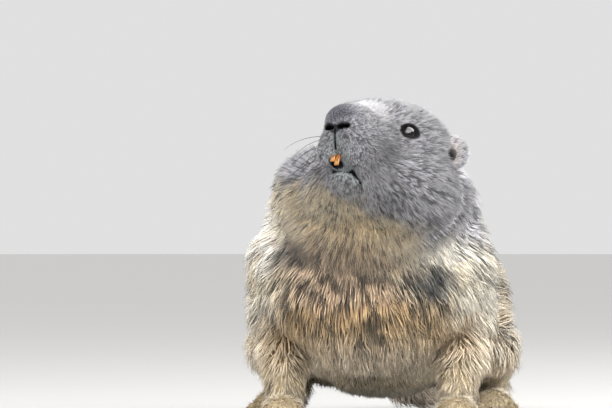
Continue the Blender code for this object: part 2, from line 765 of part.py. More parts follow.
def grow_locks(items, pieces):
    """Roots in rows, each lock kept where it stays clear of every other node and of their locks."""
    chance = np.random.default_rng(LOCK_SEED)
    cores = {made.name: BVHTree.FromPolygons([v.co.copy() for v in made.data.vertices],
                                             [tuple(face.vertices) for face in made.data.polygons])
             for made in pieces}
    kept = {made.name: [] for made in pieces}
    clear_of = []
    tail_reach = np.linalg.norm(tail_masses()[0]["start"] - NOSTRILS)
    reach, row = LOCK_ROWS_FROM, 0
    while reach < tail_reach + TAIL_LENGTH - TAIL_BARE_END:
        on_tail = reach > tail_reach - TAIL_OVERLAP
        size = TAIL_LOCK_SIZE if on_tail else RUFF_LOCK_SIZE if reach < RUFF_REACH else 1.0
        roots = row_of_roots(items, reach, LOCK_SPACING * size, 0.5 * (row % 2))
        out = slope(items, roots, core=True)
        lowest = LOWEST_TAIL_ROOT if on_tail else LOWEST_ROOT
        roots = roots[(roots[:, 2] > lowest) & (out[:, 2] > LEAST_OUTWARD_RISE)]
        lengths = LOCK_LENGTH * size * chance.uniform(*LOCK_LENGTHS, len(roots))
        bends = chance.uniform(-LOCK_BEND, LOCK_BEND, len(roots))
        waiting = np.arange(len(roots))
        for retreat in LOCK_RETREATS:
            if len(waiting) == 0:
                break
            shifted = on_core(items, roots[waiting] - lie(roots[waiting]) * retreat)
            frames = lock_frames(items, shifted, lengths[waiting], bends[waiting])
            refused = []
            for number, which in enumerate(waiting):
                name = node_at(shifted[number])
                shape = lock_shape(frames, number, LOCK_HALF_WIDTH * size)
                wider = lock_shape(frames, number, LOCK_HALF_WIDTH * size, GAP + LOCK_CLEARANCE)
                beside_ear = name == "head" and shifted[number][2] > CHEEK_TOP
                above_floor = min(place.z for place in shape[0]) > LOCK_OFF_FLOOR
                if above_floor and not beside_ear and is_clear(name, wider, cores, clear_of):
                    kept[name].append(shape)
                    clear_of.append((name, BVHTree.FromPolygons(*shape)))
                else:
                    refused.append(which)
            waiting = np.array(refused, int)
        reach += LOCK_ROW_PITCH * size
        row += 1
    return kept


def is_clear(name, wider, cores, clear_of):
    """True where a lock, made wider by the gap, meets no other node's core or lock."""
    tree = BVHTree.FromPolygons(*wider)
    if any(tree.overlap(core) for other, core in cores.items() if other != name):
        return False
    return not any(tree.overlap(lock) for other, lock in clear_of if other != name)


def join_locks(made, shapes):
    """Joins a node and its locks by one Boolean on a collection, which is then emptied."""
    holder = bpy.data.collections.new(f"{made.name}_locks")
    bpy.context.scene.collection.children.link(holder)
    for number, (places, faces) in enumerate(shapes):
        mesh = bpy.data.meshes.new(f"{made.name}_lock_{number}")
        mesh.from_pydata(places, [], faces)
        shape = bmesh.new()
        shape.from_mesh(mesh)
        bmesh.ops.recalc_face_normals(shape, faces=shape.faces[:])
        bmesh.ops.triangulate(shape, faces=shape.faces[:])
        shape.to_mesh(mesh)
        shape.free()
        mesh_object(mesh.name, mesh, holder)
    union = made.modifiers.new("locks", "BOOLEAN")
    union.operand_type = "COLLECTION"
    union.operation = "UNION"
    union.collection = holder
    union.solver = "MANIFOLD"   # EXACT leaves crossing blades open
    bake(made)
    for lock in list(holder.objects):
        bpy.data.objects.remove(lock)
    bpy.data.collections.remove(holder)
    keep_largest(made)


# Finishing

def finish(made):
    """A plain material of its own, and triangles without slivers where that leaves the surface closed."""
    named = [word for word in ("head", "neck", "torso", "foot", "tail", "ear", "eye") if word in made.name]
    word = named[0] if named else "tooth" if "incisor" in made.name else "leg"
    material = bpy.data.materials.new(made.name + "_finish")
    material.use_nodes = True
    shader = material.node_tree.nodes["Principled BSDF"]
    shader.inputs["Base Color"].default_value = (*COLOURS[word], 1.0)
    shader.inputs["Roughness"].default_value = 0.08 if word == "eye" else 0.4 if word == "tooth" else 0.85
    shader.inputs["Metallic"].default_value = 0.0
    made.data.materials.clear()
    made.data.materials.append(material)
    for corners, sliver in product(("BEAUTY", "EAR_CLIP"), SLIVERS):
        shape = bmesh.new()
        shape.from_mesh(made.data)
        bmesh.ops.triangulate(shape, faces=shape.faces[:], ngon_method=corners)
        bmesh.ops.remove_doubles(shape, verts=shape.verts[:], dist=sliver)
        bmesh.ops.dissolve_degenerate(shape, dist=sliver / 4, edges=shape.edges[:])
        bmesh.ops.triangulate(shape, faces=shape.faces[:])
        closed = all(edge.is_manifold for edge in shape.edges)
        if closed:
            shape.to_mesh(made.data)
        shape.free()
        if closed:
            return
    print(made.name, "keeps its slivers")
    shape = bmesh.new()
    shape.from_mesh(made.data)
    bmesh.ops.triangulate(shape, faces=shape.faces[:])
    shape.to_mesh(made.data)
    shape.free()


def to_metres(pieces):
    """Moves the animal so that its box's bottom centre is the origin, and scales it to metres."""
    corners = np.array([vertex.co for made in pieces for vertex in made.data.vertices])
    low, high = corners.min(0), corners.max(0)
    middle = Vector(((low[0] + high[0]) / 2, (low[1] + high[1]) / 2, 0.0))
    for made in pieces:
        made.data.transform(Matrix.Scale(MM, 4) @ Matrix.Translation(-middle))
        made.data.shade_smooth()
        made.data.set_sharp_from_angle(angle=radians(35))
        made.data.update()


def main():
    for old in list(bpy.data.objects):
        bpy.data.objects.remove(old)
    parts = bpy.data.collections.new("alpine_marmot")
    cutters = bpy.data.collections.new("cutters")
    bpy.context.scene.collection.children.link(parts)
    bpy.context.scene.collection.children.link(cutters)
    pieces = make_head(parts, cutters) + make_feet(parts, cutters) + make_body(parts, cutters)
    locks = grow_locks(body_masses(), pieces)
    for made in pieces:
        if locks[made.name]:
            join_locks(made, locks[made.name])
            print(made.name, len(locks[made.name]), "locks")
    for made in pieces:
        finish(made)
    to_metres(pieces)
    for made in pieces:
        print(made.name, len(made.data.polygons))


main()
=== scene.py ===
# An adult alpine marmot as a still, life-size museum model: one skin with its coat, face, claws and
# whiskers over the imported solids. Lengths are in millimetres in the animal's own frame, floor at z = 0,
# it faces -Y and its left is +X, until toModel() takes them to the CAD's metres.
from math import cos, pi, radians, sin

import bmesh
import bpy
import numpy as np
from mathutils import Matrix, Vector, kdtree


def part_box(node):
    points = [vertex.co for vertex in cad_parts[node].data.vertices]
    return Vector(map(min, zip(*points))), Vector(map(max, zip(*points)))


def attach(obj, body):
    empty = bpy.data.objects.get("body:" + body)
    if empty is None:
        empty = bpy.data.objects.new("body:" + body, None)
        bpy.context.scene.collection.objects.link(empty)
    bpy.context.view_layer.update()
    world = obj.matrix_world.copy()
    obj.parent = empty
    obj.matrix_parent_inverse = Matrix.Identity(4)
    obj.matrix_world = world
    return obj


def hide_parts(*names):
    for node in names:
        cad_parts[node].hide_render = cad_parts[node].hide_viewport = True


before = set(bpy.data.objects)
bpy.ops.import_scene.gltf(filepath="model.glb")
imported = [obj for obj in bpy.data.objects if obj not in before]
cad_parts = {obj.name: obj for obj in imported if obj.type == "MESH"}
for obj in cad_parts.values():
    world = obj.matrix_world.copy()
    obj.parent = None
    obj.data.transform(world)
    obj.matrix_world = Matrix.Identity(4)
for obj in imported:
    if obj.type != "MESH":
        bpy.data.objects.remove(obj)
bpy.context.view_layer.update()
print("frame loaded:", len(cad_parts), "solids")

mm = 0.001
nostrils = np.array([-9.0, -138.0, 182.0])
eyeCentre = np.array([20.0, 42.7, 14.0])      # in the head's frame, nostrils at its origin
eyeLook = np.array([0.83, -0.54, 0.14])
earCentre = np.array([36.4, 80.5, 19.0])
earFaces = np.array([0.72, -0.68, 0.12])
headTurn, headRaise, eyeTurn = -21, 23, 15    # degrees
sides = (("left", 1), ("right", -1))


def unit(vector):
    vector = np.asarray(vector, float)
    return vector / np.linalg.norm(vector)


def unitRows(rows):
    return rows / np.maximum(np.linalg.norm(rows, axis=1), 1e-9)[:, None]


def ramp(value, start, end):
    share = np.clip((value - start) / (end - start), 0, 1)
    return share * share * (3 - 2 * share)


# How far each point is from a place
def apart(points, place):
    return np.linalg.norm(points - place, axis=1)


# How far out in an egg round a centre each point is, 1 on its surface
def eggReach(points, centre, radii):
    return np.linalg.norm((points - np.array(centre)) / np.array(radii), axis=1)


# 0 at the first distance from a place and beyond, 1 at the second and nearer
def nearness(points, place, start, end):
    return ramp(apart(points, place), start, end)


def mixRows(rows, colour, share):
    return rows * (1 - share[:, None]) + np.asarray(colour) * share[:, None]


def facingAxes(normal, up=(0, 0, 1)):
    first = unit(normal)
    second = unit(np.cross(up, first))
    return np.column_stack([first, second, np.cross(first, second)])


def mirrored(point, side):
    return np.array([point[0] * side, point[1], point[2]])


# Axes of an eye in the head's frame: outwards, across the lids and up, with the back corner raised
def eyeAxes(side):
    out, across, up = facingAxes(mirrored(eyeLook, side)).T
    turn = radians(eyeTurn * side)
    return np.column_stack([out, across * cos(turn) + up * sin(turn), up * cos(turn) - across * sin(turn)])


headAxes = np.array(Matrix.Rotation(radians(headTurn), 3, "Z") @ Matrix.Rotation(radians(-headRaise), 3, "X"))


def onHead(point):
    return nostrils + headAxes @ np.asarray(point, float)


def toHead(points):
    return (points - nostrils) @ headAxes


lowCorner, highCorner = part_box("eye_left")
eyeInModel = (np.array(lowCorner) + np.array(highCorner)) / 2
modelShift = eyeInModel - onHead(eyeCentre) * mm
modelShift[2] = 0.0


def toModel(points):
    return np.asarray(points, float) * mm + modelShift


def linearColour(hexValue):
    channels = [int(hexValue[i:i + 2], 16) / 255 for i in (1, 3, 5)]
    return np.array([c / 12.92 if c <= 0.04045 else ((c + 0.055) / 1.055) ** 2.4 for c in channels])


# A link to the socket if the value comes from another node, else its fixed value
def feed(tree, socket, value):
    if isinstance(value, bpy.types.NodeSocket):
        tree.links.new(value, socket)
    else:
        socket.default_value = value


def addNode(tree, kind, inputs=None, **settings):
    node = tree.nodes.new(kind)
    for key, value in settings.items():
        setattr(node, key, value)
    for key, value in (inputs or {}).items():
        feed(tree, node.inputs[key], value)
    return node


def newMaterial(name, finish):
    material = bpy.data.materials.new(name)
    material.use_nodes = True
    tree = material.node_tree
    shader = tree.nodes["Principled BSDF"]
    for key, value in finish.items():
        shader.inputs[key].default_value = value
    return material, tree, shader


def opaque(hexValue):
    return (*linearColour(hexValue), 1)


# A noise in the object's own space, its waves about this many millimetres wide
def grain(tree, size, detail=2.0, roughness=0.5, place=None):
    place = place or addNode(tree, "ShaderNodeTexCoord").outputs["Object"]
    noise = addNode(tree, "ShaderNodeTexNoise", {
        "Vector": place, "Scale": 1 / (size * mm), "Detail": detail, "Roughness": roughness})
    return noise.outputs["Fac"]


def attributeOf(tree, name, output="Fac"):
    return addNode(tree, "ShaderNodeAttribute", attribute_name=name).outputs[output]


def spread(tree, value, lowest, highest, fromLow=0.0, fromHigh=1.0):
    node = addNode(tree, "ShaderNodeMapRange", {
        "Value": value, "From Min": fromLow, "From Max": fromHigh, "To Min": lowest, "To Max": highest})
    return node.outputs["Result"]


# Mixed colours, to the shader's base colour if one is given
def mixColours(tree, share, first, second, blend="MIX", shader=None):
    node = addNode(tree, "ShaderNodeMix", {0: share, 6: first, 7: second}, data_type="RGBA", blend_type=blend)
    if shader:
        tree.links.new(node.outputs[2], shader.inputs["Base Color"])
    return node.outputs[2]


def colourBand(tree, value, stops):
    band = addNode(tree, "ShaderNodeValToRGB", {"Fac": value})
    elements = band.color_ramp.elements
    for element, (position, colour) in zip(elements, (stops[0], stops[-1])):
        element.position, element.color = position, opaque(colour)
    for position, colour in stops[1:-1]:
        elements.new(position).color = opaque(colour)
    return band.outputs["Color"]


# Triangles between rings of points that follow one another; joined also closes the last to the first
def ringFaces(rings, ringSides, joined=False):
    faces = []
    for ring in range(rings if joined else rings - 1):
        low, high = ring * ringSides, (ring + 1) % rings * ringSides
        for k in range(ringSides):
            after = (k + 1) % ringSides
            faces += [(low + k, low + after, high + after), (low + k, high + after, high + k)]
    return faces


def inScene(name, data):
    thing = bpy.data.objects.new(name, data)
    bpy.context.scene.collection.objects.link(thing)
    return thing


# The mesh that an object's modifiers make of it, without the object
def takeMesh(thing):
    bpy.context.view_layer.update()
    worked = thing.evaluated_get(bpy.context.evaluated_depsgraph_get())
    mesh = bpy.data.meshes.new_from_object(worked)
    bpy.data.objects.remove(thing)
    return mesh


def turnOutwards(mesh):
    shape = bmesh.new()
    shape.from_mesh(mesh)
    bmesh.ops.recalc_face_normals(shape, faces=shape.faces)
    shape.to_mesh(mesh)
    shape.free()


# Soft waves in space, from -1 to 1, for edges of markings that aren't straight
def waves(points, size, seed):
    random = np.random.default_rng(seed)
    total = np.zeros(len(points))
    for octave in range(5):
        way = unit(random.normal(size=3))
        total += np.sin(points @ way * (2 * pi / (size * (0.6 + 0.25 * octave))) + random.random() * 6.28)
    return total / 2.4


# The animal's rounded masses, the same as in the solids, and the distance to their smooth union
def mass(centre, radii, blend=8.0, axes=np.eye(3), coat=1.0):
    return {"centre": np.asarray(centre, float), "radii": np.asarray(radii, float), "axes": axes,
            "blend": blend, "coat": coat}


def headMass(centre, radii, blend=8.0, axes=np.eye(3), coat=1.0):
    return mass(onHead(centre), radii, blend, headAxes @ axes, coat)


def limb(start, end, startRadius, endRadius, blend=10.0):
    return {"start": np.asarray(start, float), "end": np.asarray(end, float),
            "radii": (startRadius, endRadius), "blend": blend, "coat": 1.0}


def distanceTo(item, points):
    if "centre" in item:
        local = (points - item["centre"]) @ item["axes"]
        scaled = np.linalg.norm(local / item["radii"], axis=1)
        steep = np.linalg.norm(local / item["radii"] ** 2, axis=1)
        return scaled * (scaled - 1.0) / np.maximum(steep, 1e-9)
    along = item["end"] - item["start"]
    share = np.clip((points - item["start"]) @ along / (along @ along), 0, 1)
    first, last = item["radii"]
    away = np.linalg.norm(points - item["start"] - share[:, None] * along, axis=1)
    return away - (first + (last - first) * share)


def headMasses():
    middle = [
        ((0, 68, 11), (38, 40, 33), 8), ((0, 43, 13), (22.5, 27, 22), 10), ((0, 27, 7), (18.5, 24, 18), 8),
        ((0, 30, -9), (20, 22, 16), 8), ((0, 13, 0.5), (15.5, 18, 17.5), 6), ((0, 2, 6.5), (11.5, 8.5, 9), 5),
        ((0, 20.5, -26.5), (11.5, 13.5, 7), 3), ((0, 42, -18), (25, 27, 15), 8),
        ((0, 60, -12), (34, 33, 21), 10),
    ]
    paired = [
        ((8.5, 14, -10.5), (9.5, 15, 13.5), 4, 1.0), ((24, 64, -13), (23, 28, 22), 10, 1.0),
        ((15, 43, 23), (11, 15, 10), 5, 1.0), (eyeCentre, (8.2, 8.2, 8.2), 2.5, 0.3),
        ((32, 79, 15), (7, 9, 9), 4, 0.3),
    ]
    items = [headMass(*row) for row in middle]
    for word, side in sides:
        items += [headMass(mirrored(centre, side), radii, blend, coat=coat)
                  for centre, radii, blend, coat in paired]
        items.append(headMass(mirrored(earCentre, side), (4.4, 8.8, 10.6), 5,
                              facingAxes(mirrored(earFaces, side)), 0.0))
    return items


def trunkMasses():
    return [
        mass((0, 112, 92), (68, 104, 76)),
        mass((0, -4, 92), (57, 62, 58), 24),
        mass((0, 34, 134), (43, 74, 35), 20),
        mass((0, 204, 82), (63, 68, 64), 24),
        limb((17, -60, 141), (2, -8, 116), 36, 54, 16),
        headMass((0, 93, -8), (46, 24, 32), 12),
        mass((3, -38, 132), (59, 39, 39), 14),
        mass((2, -60, 118), (45, 34, 29), 18),
        # Fuller fur on the breast and at both sides of the neck
        mass((-2, -38, 92), (48, 38, 34), 22),
        mass((-31, -44, 149), (22, 32, 17), 20),
        mass((44, -34, 142), (18, 34, 19), 16),
    ]


def legMasses(side):
    elbow, wrist, knee, ankle, heel, ball = (mirrored(place, side) for place in (
        (57, 22, 68), (53, -2, 22), (66, 124, 50), (63, 196, 21), (63, 196, 11), (69, 132, 8.5)))
    return [
        mass(mirrored((43, -2, 100), side), (25, 40, 45), 14),
        limb(mirrored((50, -2, 100), side), elbow, 25, 20, 10),
        limb(elbow, wrist, 19, 11.5, 8),
        mass(mirrored((42, 170, 71), side), (34, 58, 48), 16),
        limb(mirrored((48, 160, 72), side), knee, 31, 20, 12),
        limb(knee, ankle, 19, 12, 8),
        mass(mirrored((53, -18, 9.5), side), (13, 20, 10), 5),
        limb(heel, ball, 10, 10, 4),
        mass(ball + np.array([0, 4, 0]), (14.5, 20, 9), 5),
    ]


def tailStations():
    stations = []
    for share in np.linspace(0, 1, 9):
        radius = 23 + 5 * sin(pi * share) - 13 * share ** 4
        place = np.array([58 * share ** 2, 256 + 160 * share, max(radius + 1.5, 62 - 95 * share)])
        stations.append((place, radius))
    return stations


tailLine = np.array([place for place, radius in tailStations()])


def tailMasses():
    stations = tailStations()
    return [limb(place, after, radius, afterRadius, 12 if place[1] < 262 else 2)
            for (place, radius), (after, afterRadius) in zip(stations, stations[1:])]


# Each toe's root, tip and radius
def toesOf(side, fore):
    count, radius, firstX, spread, toeY = (4, 4.7, 43.5, 6.4, -28) if fore else (5, 4.4, 57.5, 5.9, 126)
    toes = []
    for toe in range(count):
        fromMiddle = toe - (count - 1) / 2
        x = firstX + spread * toe
        tip = mirrored((x + fromMiddle * 1.4, toeY - 17 + abs(fromMiddle) * 2.2, 4.4), side)
        toes.append((mirrored((x, toeY, 7.0), side), tip, radius))
    return toes


bodyItems = trunkMasses() + headMasses() + tailMasses()
for word, side in sides:
    bodyItems += legMasses(side)
toeItems = [limb(root, tip, radius + 0.6, radius - 0.3, 1.2)
            for word, side in sides for fore in (True, False) for root, tip, radius in toesOf(side, fore)]
skinItems = bodyItems + toeItems

coatPlan = {"depth": 8.0, "faceDepth": 1.5, "footDepth": 0.8}


# How far the skin lies inside the masses, whose surface is the outline to the tips of the hair
def skinDepth(points):
    fromNose = apart(points, nostrils)
    aboveFeet = np.maximum(ramp(points[:, 2], 24, 58), ramp(points[:, 1], 250, 274))
    deep = coatPlan["depth"] * ramp(fromNose, 70, 128)
    face = coatPlan["faceDepth"] * ramp(fromNose, 16, 40)
    return np.maximum(deep, face) * aboveFeet + coatPlan["footDepth"] * (1 - aboveFeet)


def distance(points, items=None):
    items = skinItems if items is None else items
    depth = skinDepth(points)
    result = distanceTo(items[0], points) + depth * items[0]["coat"]
    for item in items[1:]:
        other = distanceTo(item, points) + depth * item["coat"]
        blend = np.clip(1.0 - np.abs(result - other) / item["blend"], 0, 1)
        result = np.minimum(result, other) - blend ** 2 * item["blend"] * 0.25
    return result


def slope(points, items=None, step=0.2):
    total = np.zeros_like(points)
    for corner in ((1, -1, -1), (-1, -1, 1), (-1, 1, -1), (1, 1, 1)):
        way = np.array(corner, float)
        total += way * distance(points + way * step, items)[:, None]
    return unitRows(total)


# The skin: balls joined, remeshed, made finer on head and feet, and settled on the distance field
skinPlan = {"voxel": 4.4, "settleRounds": 3, "headReach": 108.0, "fineReach": 30.0}


def addBall(shape, item):
    if "centre" in item:
        placed = Matrix(item["axes"]).to_4x4()
        placed.translation = Vector(item["centre"])
        scale = Matrix.Diagonal(Vector((*item["radii"], 1.0)))
        bmesh.ops.create_uvsphere(shape, u_segments=24, v_segments=14, radius=1.0, matrix=placed @ scale)
        return
    first, last = item["radii"]
    length = np.linalg.norm(item["end"] - item["start"])
    for share in np.linspace(0, 1, max(3, int(length / min(first, last) * 2) + 1)):
        centre = item["start"] + share * (item["end"] - item["start"])
        bmesh.ops.create_icosphere(shape, subdivisions=2, radius=first + (last - first) * share,
                                   matrix=Matrix.Translation(Vector(centre)))


def verticesOf(shape):
    return np.array([v.co for v in shape.verts])


def placeVertices(shape, points):
    for vertex, point in zip(shape.verts, points):
        vertex.co = point


def settle(shape, rounds, easing=0.0):
    for step in range(rounds):
        if easing:
            everyWay = {"use_axis_" + axis: True for axis in "xyz"}
            bmesh.ops.smooth_vert(shape, verts=shape.verts, factor=easing, **everyWay)
        points = verticesOf(shape)
        points -= slope(points) * np.clip(distance(points), -6, 6)[:, None]
        placeVertices(shape, points)


def refine(shape, chosen):
    edges = [edge for edge in shape.edges if chosen[edge.verts[0].index] and chosen[edge.verts[1].index]]
    bmesh.ops.subdivide_edges(shape, edges=edges, cuts=1, use_grid_fill=True)
    shape.verts.index_update()


def nearFace(points, reach):
    local = toHead(points)
    near = apart(local, (0, 6, -8)) < reach
    for word, side in sides:
        near |= apart(local, mirrored(eyeCentre, side)) < 13
        near |= apart(local, mirrored(earCentre, side)) < 15
    return near


def makeSkinShape():
    shape = bmesh.new()
    for item in skinItems:
        addBall(shape, item)
    mesh = bpy.data.meshes.new("skinBalls")
    shape.to_mesh(mesh)
    shape.free()
    balls = inScene("skinBalls", mesh)
    remesh = balls.modifiers.new("remesh", "REMESH")
    remesh.mode = "VOXEL"
    remesh.voxel_size = skinPlan["voxel"]
    joined = takeMesh(balls)
    shape = bmesh.new()
    shape.from_mesh(joined)
    bpy.data.meshes.remove(joined)
    shape.verts.index_update()
    settle(shape, skinPlan["settleRounds"], 0.5)
    for stage in range(3):
        points = verticesOf(shape)
        if stage < 2:
            chosen = apart(points, nostrils) < skinPlan["headReach"]
            chosen |= (points[:, 2] < 26) & (points[:, 1] < 215) & (np.abs(points[:, 0]) > 36)
        else:
            chosen = nearFace(points, skinPlan["fineReach"])
        refine(shape, chosen)
        settle(shape, 2, 0.4)
    settle(shape, 1)
    return shape


# Small forms pressed into the settled skin, all in the head's frame
facePlan = {
    "middle": -2.6,                            # the nose is turned a little to the animal's right
    "nostril": (5.0, -0.4, 4.7, 2.1, 5.5),     # sideways, height, half width, half height, depth
    "nostrilTurn": 12, "philtrumDepth": 1.6, "philtrumHalfWidth": 0.8,
    "mouth": (0, 6.0, -22.2), "mouthTilt": -27, "mouthEnd": 19.5, "mouthDepth": 2.4,
    "gape": (4.0, 2.8, -19.8, 9.0),            # half width, half height, height, how far back its floor is
    "gapeToRight": 0.7, "mouthHalfWidth": 0.85, "eyePress": 5.4, "eyeReach": 14,
    "eyeOpening": (6.5, 4.2), "earCup": (3.8, 4.8), "earCupMiddle": (-3.2, -4.6), "earCupDepth": 5.0,
}


# Shares from 0 to 1 of how far a point of the skin is within each small form
def faceForms(points):
    local = toHead(points)
    forms = {}
    x, y, z = local.T
    x = x - facePlan["middle"]
    front = ramp(y, 9, 3)
    away, height, halfWidth, halfHeight, depth = facePlan["nostril"]
    nostril = np.zeros(len(points))
    for word, side in sides:
        turn = radians(-facePlan["nostrilTurn"] * side)
        dx, dz = x - side * away, z - height
        across, up = dx * cos(turn) - dz * sin(turn), dx * sin(turn) + dz * cos(turn)
        inside = 1 - (across / halfWidth) ** 2 - (up / halfHeight) ** 2
        nostril = np.maximum(nostril, ramp(inside, -0.15, 0.9) * front)
    forms["nostril"] = nostril
    forms["philtrum"] = (np.exp(-(x / facePlan["philtrumHalfWidth"]) ** 2)
                         * ramp(z, -14.5, -12.5) * ramp(z, 0, -3) * ramp(y, 6, 0))
    halfWide, halfHigh, middle, floorY = facePlan["gape"]
    inside = 1 - ((x + facePlan["gapeToRight"]) / halfWide) ** 2 - ((z - middle) / halfHigh) ** 2
    forms["gape"] = ramp(inside, 0, 0.5) * ramp(y, floorY + 4, floorY)
    tilt = np.array(Matrix.Rotation(radians(facePlan["mouthTilt"]), 3, "X"))
    inMouth = (local - np.array(facePlan["mouth"])) @ tilt
    ends = facePlan["mouthEnd"]
    forms["mouth"] = (np.exp(-(inMouth[:, 2] / facePlan["mouthHalfWidth"]) ** 2)
                      * ramp(y, ends + 1.5, ends - 1.5) * ramp(y, 5, 7.5))
    # The bare skin between and under the nostrils
    forms["rhinarium"] = ramp(1 - (x / 4.4) ** 2 - ((z + 2.2) / 2.8) ** 2, 0.0, 0.55) * front
    for word, side in sides:
        axes = eyeAxes(side)
        toEye = (local - mirrored(eyeCentre, side)) @ axes
        wide, high = facePlan["eyeOpening"]
        egg = np.sqrt((toEye[:, 1] / wide) ** 2 + (toEye[:, 2] / high) ** 2)
        forms["eye_" + word] = np.where(toEye[:, 0] > 0, egg, 9.0)
        axes = facingAxes(mirrored(earFaces, side))
        toEar = (local - mirrored(earCentre, side)) @ axes
        wide, high = facePlan["earCup"]
        back, up = facePlan["earCupMiddle"]
        cup = 1 - ((toEar[:, 1] - side * back) / wide) ** 2 - ((toEar[:, 2] - up) / high) ** 2
        forms["ear_" + word] = ramp(cup, 0, 0.7) * ramp(toEar[:, 0], -1.5, 1.5) * ramp(toEar[:, 0], 12, 8)
    return forms


def pressFace(points):
    forms = faceForms(points)
    local = toHead(points)
    depth = facePlan["nostril"][4]
    outward = slope(points) @ headAxes
    local[:, 1] += forms["nostril"] * depth + forms["philtrum"] * facePlan["philtrumDepth"]
    floorY = facePlan["gape"][3]
    local[:, 1] += forms["gape"] * np.maximum(floorY - local[:, 1], 0)
    local -= outward * (forms["mouth"] * facePlan["mouthDepth"] * (1 - forms["gape"]))[:, None]
    for word, side in sides:
        fromEye = local - mirrored(eyeCentre, side)
        radius = np.linalg.norm(fromEye, axis=1)
        inward = ramp(forms["eye_" + word], 1.12, 0.9) * (radius < facePlan["eyeReach"])
        local -= unitRows(fromEye) * (inward * np.maximum(radius - facePlan["eyePress"], 0))[:, None]
        local -= unit(mirrored(earFaces, side)) * (forms["ear_" + word] * facePlan["earCupDepth"])[:, None]
    return nostrils + local @ headAxes.T


skinShape = makeSkinShape()
restPoints = verticesOf(skinShape)
skinPoints = pressFace(restPoints)
skinPoints[:, 2] = np.maximum(skinPoints[:, 2], 0.05)
placeVertices(skinShape, skinPoints)
bmesh.ops.recalc_face_normals(skinShape, faces=skinShape.faces)
bmesh.ops.triangulate(skinShape, faces=skinShape.faces)
print("skin shaped:", len(skinShape.faces), "triangles")


# Markings: what colour the coat has at a place, the same for the skin under it, with some painted shade and
# light
palette = {key: linearColour(value) for key, value in {
    "faceGrey": "#8b8b92", "facePale": "#dedce2", "nosePad": "#484650", "cheekDark": "#3a3a41",
    "muzzleTop": "#ccc8cb", "chin": "#8c9492", "earRim": "#cfc5c0", "earCup": "#2a2629", "bare": "#0c0a0c",
    "eyeRing": "#b2b0b5", "ruff": "#cdae80", "ruffTip": "#f6e8cc", "rufous": "#a9866b",
    # The dark brown of the far shoulder's recess, on the next line, is painted shade
    "rufousTip": "#e0c6a8", "farHollowShade": "#463a34", "cream": "#fffcf4", "shoulder": "#f0dfbd",
    # The dark grey of the near shoulder's recess, on the next line, is painted shade
    "nearHollowShade": "#535558", "flank": "#ccc5b8", "straw": "#fdf8ea", "back": "#857969", "backTip": "#c6b69b",
    "belly": "#d2b184", "leg": "#e6d2aa", "foot": "#dcc7a0", "crown": "#535258", "throat": "#ecc98f",
    "throatTip": "#fff3d6", "tail": "#6d5440", "tailEnd": "#1b1512",
}.items()}
palette["nosePadTip"] = palette["nosePad"] * 1.1
palette["crownTip"] = palette["faceGrey"] * 0.8
# Egg-shaped markings: centre, reach, softness of the edge and its seed; colour and share at the root, colour
# and share at the tip; how many more hairs are dark or, below 0, what share of the dark ones goes
bodyMarks = [
    # The throat: its own ochre, partly painted light, made paler so that it reads as lit where the chin
    # shades it
    ((-8, -76, 130), (34, 40, 13), 0.4, 19, "throat", 1, "throatTip", 1, -0.7),
    ((-14, -58, 95), (44, 44, 26), 0.35, 3, "rufous", 1, "rufousTip", 0.9, 0.36),
    # Painted shade: dark brown in the recess between the far shoulder and the chest
    ((-48, -54, 105), (20, 30, 10), 0.5, 17, "farHollowShade", 1, "farHollowShade", 0.8, 0),
    # The animal's right shoulder: partly its own pale cream coat and partly painted light, near white where
    # light from behind shines through
    ((-74, -30, 114), (19, 44, 26), 0.45, 4, "ruffTip", 1, "cream", 1, -0.8),
    ((36, -46, 108), (38, 40, 14), 0.35, 5, "shoulder", 0.9, "cream", 0.9, -0.7),
    # Painted shade: dark grey, with more dark hairs, in the recess under the near shoulder's fringe, above
    # the foreleg
    ((38, -42, 87), (21, 36, 11), 0.35, 6, "nearHollowShade", 1, "nearHollowShade", 1, 0.4),
    ((74, 10, 112), (26, 60, 44), 0.5, 7, "flank", 0.8, "straw", 0.8, 0),
]
cheekMarks = [
    ((19, 34, -4), (8, 10, 7), 0.5, 8, "cheekDark", 0.6, "faceGrey", 0.6, 0),
    ((30, 66, -34), (22, 26, 9), 0.5, 9, "cheekDark", 0.3, None, 0, 0.1),
]
muzzleTopMarks = [((5, 22, 20), (13, 12, 10), 0.5, 13, "muzzleTop", 1, "muzzleTop", 1, -1)]
nosePad = (facePlan["middle"] + 1, 2, 7), (12.5, 12, 10)      # centre and reach
snoutMarks = [
    (*nosePad, 0.2, 14, "nosePad", 1, "nosePadTip", 1, -0.6),
    ((0, 15, -30), (13, 17, 8), 0.3, 15, "chin", 1, "facePale", 1, 0),
    ((0, 0, -14), (9, 9, 8), 0.35, 16, "chin", 0.7, None, 0, 0),
]
beardMarks = [((0, 26, -36), (16, 12, 9), 0.4, 18, "cheekDark", 0.6, None, 0, 0)]
tailTip = np.array([58, 416, 14])


# How strongly an egg round a centre holds each point, 1 inside and 0 outside, with an uneven edge
def patch(points, centre, radii, edge=0.35, seed=1):
    return ramp(eggReach(points, centre, radii) + 0.12 * waves(points, 16, seed), 1 + edge, 1 - edge)


# Colours laid on the coat by this share, and more dark hairs or, below 0, fewer
def paint(coat, share, root=None, tip=None, rootShare=1, tipShare=1, dark=0):
    for part, colour, strength in (("root", root, rootShare), ("tip", tip, tipShare)):
        if colour:
            coat[part] = mixRows(coat[part], palette[colour], strength * share)
    coat["dark"] = coat["dark"] + dark * share if dark > 0 else coat["dark"] * (1 + dark * share)


def paintMarks(coat, points, marks, side=1, within=1):
    for centre, reach, softness, seed, root, rootShare, tip, tipShare, dark in marks:
        share = patch(points, mirrored(centre, side), reach, softness, seed) * within
        paint(coat, share, root, tip, rootShare, tipShare, dark)


